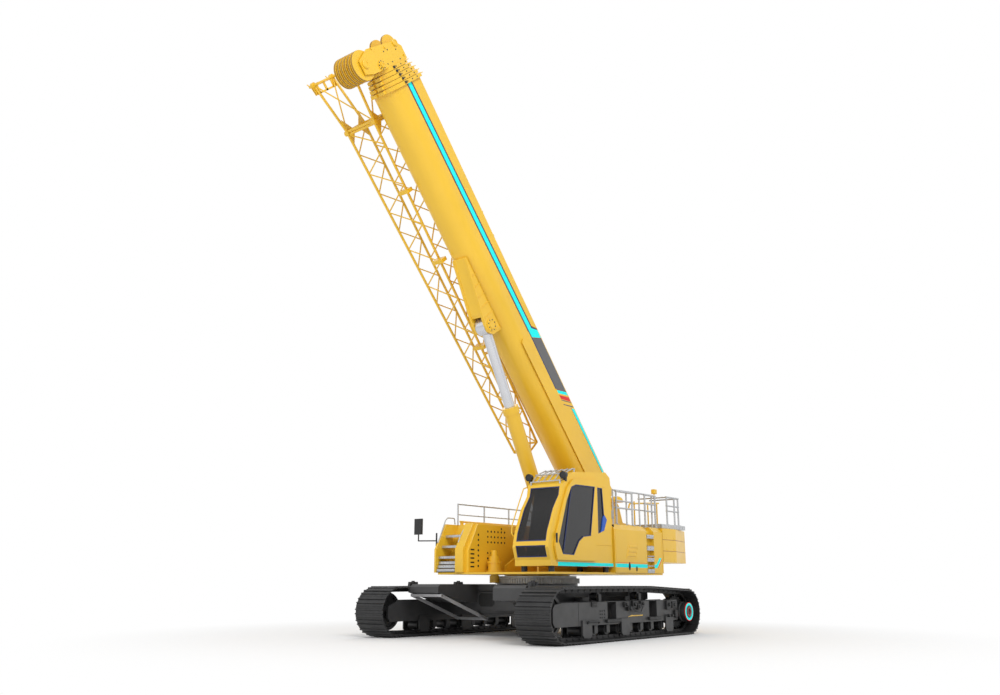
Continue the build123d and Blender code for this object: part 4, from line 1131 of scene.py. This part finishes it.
def addDrumRope(name, body):
    low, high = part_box(body)
    x, z = (low[0] + high[0]) / 2, (low[2] + high[2]) / 2
    shape = bmesh.new()
    half, r = drumShape["half"], drumShape["radius"] + drumShape["layer"]
    profile = [(drumShape["radius"] - 0.01, -half)]
    count = drumShape["turns"]
    step = 2 * half / count
    for i in range(count):
        a = -half + 2 * half * i / count
        profile += [(r - 0.010, a + 0.001), (r, a + step * 0.3), (r, a + step * 0.7), (r - 0.010, a + step - 0.001)]
    profile.append((drumShape["radius"] - 0.01, half))
    addRound(shape, profile, (x, 0, z), (0, 1, 0), 32)
    addPiece(name, shape, "ropeSteel", body, 60)


addDrumRope("mainRope", "main_winch")
addDrumRope("auxRope", "aux_winch")

print("car body")
armShape = {
    "root": 0.66,
    # x of the end, side, top and low z there
    "ends": ((2.35, -1, 1.03, 0.87), (2.35, 1, 1.01, 0.74), (-1.94, -1, 0.96, 0.72), (-1.94, 1, 0.96, 0.72)),
}


def addArms():
    shape = bmesh.new()
    for end, side, top, low in armShape["ends"]:
        way = 1 if end > 0 else -1
        root, knee = way * 1.0, way * 1.5
        for y0, y1, cut in ((0.68, 1.43, 0.0), (1.43, 1.60, 0.12)):
            outline = [(root, armShape["root"]), (knee, armShape["root"] + 0.02), (end - way * cut, low),
                       (end - way * cut, top - 0.05), (end - way * (0.05 + cut), top), (root, top)]
            sidePlate(shape, outline, *span(side, y0, y1))
    # raised edge along the front of the body, higher on its right side
    crossPlate(shape, [(-1.05, 0.90), (-1.05, 1.03), (-0.25, 1.03), (-0.10, 0.99), (1.05, 0.98), (1.05, 0.90)],
               1.10, 1.153)
    addPiece("bodyArms", shape, "darkPaint", "undercarriage")
    # black plates in the pockets on the body's front: painted shade in the recesses
    shape = bmesh.new()
    low, top, b = 0.59, 0.85, 0.05
    for y0, y1 in ((-0.64, -0.24), (0.24, 0.60)):
        crossPlate(shape, [(y0 + b, low), (y1 - b, low), (y1, low + b), (y1, top - b), (y1 - b, top), (y0 + b, top),
                           (y0, top - b), (y0, low + b)], 1.145, 1.1525)
    addPiece("bodyPockets", shape, "paintedShadeBlack", "undercarriage")
    # inclined frame under the right front arm; its pale steel colour is a painted highlight on the flange edges
    shape = bmesh.new()
    high, low = (2.24, 0.815), (0.83, 0.335)
    for y0, y1 in ((-1.50, -1.445), (-0.735, -0.68)):
        sidePlate(shape, [(high[0], high[1] - 0.028), (high[0], high[1] + 0.028), (low[0], low[1] + 0.028),
                          (low[0], low[1] - 0.028)], y0, y1, 0.004)
    for x, z in (high, low):
        addBlock(shape, (x - 0.03, -1.50, z - 0.028), (x + 0.03, -0.68, z + 0.028))
    addPiece("bellyFrame", shape, "paleSteel", "undercarriage")
    shape = bmesh.new()
    for x, y in ((2.20, -1.50), (1.50, -0.90), (2.20, 1.50)):
        for dx in (-0.09, 0.0, 0.09):
            at, top = x + dx, 1.075 + 0.02 * (dx == 0)
            sidePlate(shape, [(at - 0.035, 0.99), (at - 0.02, top), (at + 0.02, top), (at + 0.035, 0.99)],
                      y - 0.03, y + 0.03, 0.004)
    addPiece("bodyLugs", shape, "blackPlastic", "undercarriage")


addArms()

print("jib and bracket")
jibShape = {"ends": [(-1.512, -0.39), (-0.448, -0.39), (-0.448, 0.23), (-1.512, 0.23)], "endS": 11.21, "rootS": 10.06,
            "near": (-1.282, -0.508), "flank": (-0.39, 0.23)}


def addJibTrim():
    shape = bmesh.new()
    s = jibShape["endS"]
    for y, h in jibShape["ends"]:
        # nothing of the two inner ends reaches the boom's collars
        inward = 0.13 if y < -1 else 0.012
        addRound(shape, [(0.05, -0.075), (0.062, -0.055), (0.062, 0.010), (0.05, 0.012)], (s, y, h), (0, 1, 0), 16)
        addRound(shape, [(0.03, -0.13), (0.03, inward)], (s, y, h), (0, 1, 0), 12)
        addTube(shape, [(s, y - 0.12, h), (s + 0.07, y - 0.14, h - 0.03)], 0.011, 6)
        for out in (0.009, 0.045):
            sidePlate(shape, [(s - 0.20, h - 0.035), (s - 0.02, h - 0.065), (s + 0.05, h - 0.03), (s + 0.05, h + 0.03),
                              (s - 0.02, h + 0.065), (s - 0.20, h + 0.035)], y - out - 0.008, y - out + 0.008, 0.003)
    # holed plate between the two outer ends
    y = jibShape["ends"][0][0]
    for low, high in (((s - 0.03, -0.34), (s + 0.02, 0.18)), ((s - 0.20, -0.34), (s - 0.16, 0.18)),
                      ((s - 0.20, -0.36), (s + 0.02, -0.29)), ((s - 0.20, -0.12), (s + 0.02, -0.06)),
                      ((s - 0.20, 0.12), (s + 0.02, 0.19))):
        addBlock(shape, (low[0], y - 0.010, low[1]), (high[0], y + 0.010, high[1]), 0.003)
    # gussets where the tapered part and its base frame meet
    root = jibShape["rootS"]
    low, high = jibShape["flank"]
    for y in jibShape["near"]:
        for way in (1, -1):
            a = root + 0.03 + way * 0.03
            for h, turn in ((low, 1), (high, -1)):
                sidePlate(shape, [(a, h), (a + way * 0.26, h), (a, h + turn * 0.22)], y - 0.007, y + 0.007)
        for h in (low, high):
            addRound(shape, [(0.055, -0.05), (0.055, 0.05)], (root + 0.03, y, h), (0, 1, 0), 14)
    addBoomPiece("jibTrim", shape, "yellowPaint", "boom_base")


addJibTrim()

bracketShape = {
    "s": 5.42, "h": -0.70,
    "boss": [(0.145, -0.004), (0.145, 0.014), (0.135, 0.020), (0.085, 0.020), (0.080, 0.034), (0.062, 0.034)],
    # wing and edge strip that carry the ear into the boom's flank
    "wing": [(5.22, -0.47), (5.25, -0.60), (5.37, -0.86), (5.40, -0.87), (5.28, -0.58), (5.26, -0.47)],
    "strip": [(5.55, -0.885), (6.90, -0.525), (6.90, -0.495), (5.55, -0.845)],
}


def addBracketTrim():
    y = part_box("ram_bracket")[1].y - 0.02
    shape = bmesh.new()
    for side in (1, -1):
        addRound(shape, bracketShape["boss"], (bracketShape["s"], side * y, bracketShape["h"]), (0, side, 0), 32)
        sidePlate(shape, bracketShape["wing"], *span(side, y, y + 0.012))
        sidePlate(shape, bracketShape["strip"], *span(side, y - 0.01, y + 0.012))
        for i in range(5):
            a, low = 5.62 + 0.22 * i, -0.80 + 0.055 * i
            sidePlate(shape, rectangle(a, low, a + 0.02, -0.44), *span(side, y, y + 0.010))
    addBoomPiece("bracketTrim", shape, "yellowPaint", "boom_base")
    rows = boltCircle(bracketShape["s"], y + 0.019, bracketShape["h"], 0.112, 1)
    rows += boltCircle(bracketShape["s"], y + 0.019, bracketShape["h"], 0.112, -1)
    addBolts("bracketBolts", rows, 0.011, "wornIron", "boom_base")


addBracketTrim()

collarTrim = {"heads": 5, "top": 0.517, "under": -0.567, "inner": 0.362}


def addCollarFins():
    for index in range(collarTrim["heads"]):
        end = boomShape["headS"] + index * boomShape["step"]
        inset = index * boomShape["inset"]
        top, under = collarTrim["top"] - inset, collarTrim["under"] + inset
        y = collarTrim["inner"] - inset
        fin = [(end - 0.028, top - 0.03), (end - 0.012, top - 0.03), (end - 0.012, top + 0.085),
               (end - 0.016, top + 0.10), (end - 0.024, top + 0.10), (end - 0.028, top + 0.085)]
        shape = bmesh.new()
        for side in (1, -1):
            sidePlate(shape, fin, *span(side, y - 0.10, y), 0.002)
            # pad box under each side of the collar
            addBlock(shape, (end - 0.072, side * 0.10 - 0.07, under), (end - 0.010, side * 0.10 + 0.07, under + 0.075),
                     0.006)
        addBoomPiece("collarFins" + str(index + 1), shape, "yellowPaint", boomBody(index))


addCollarFins()
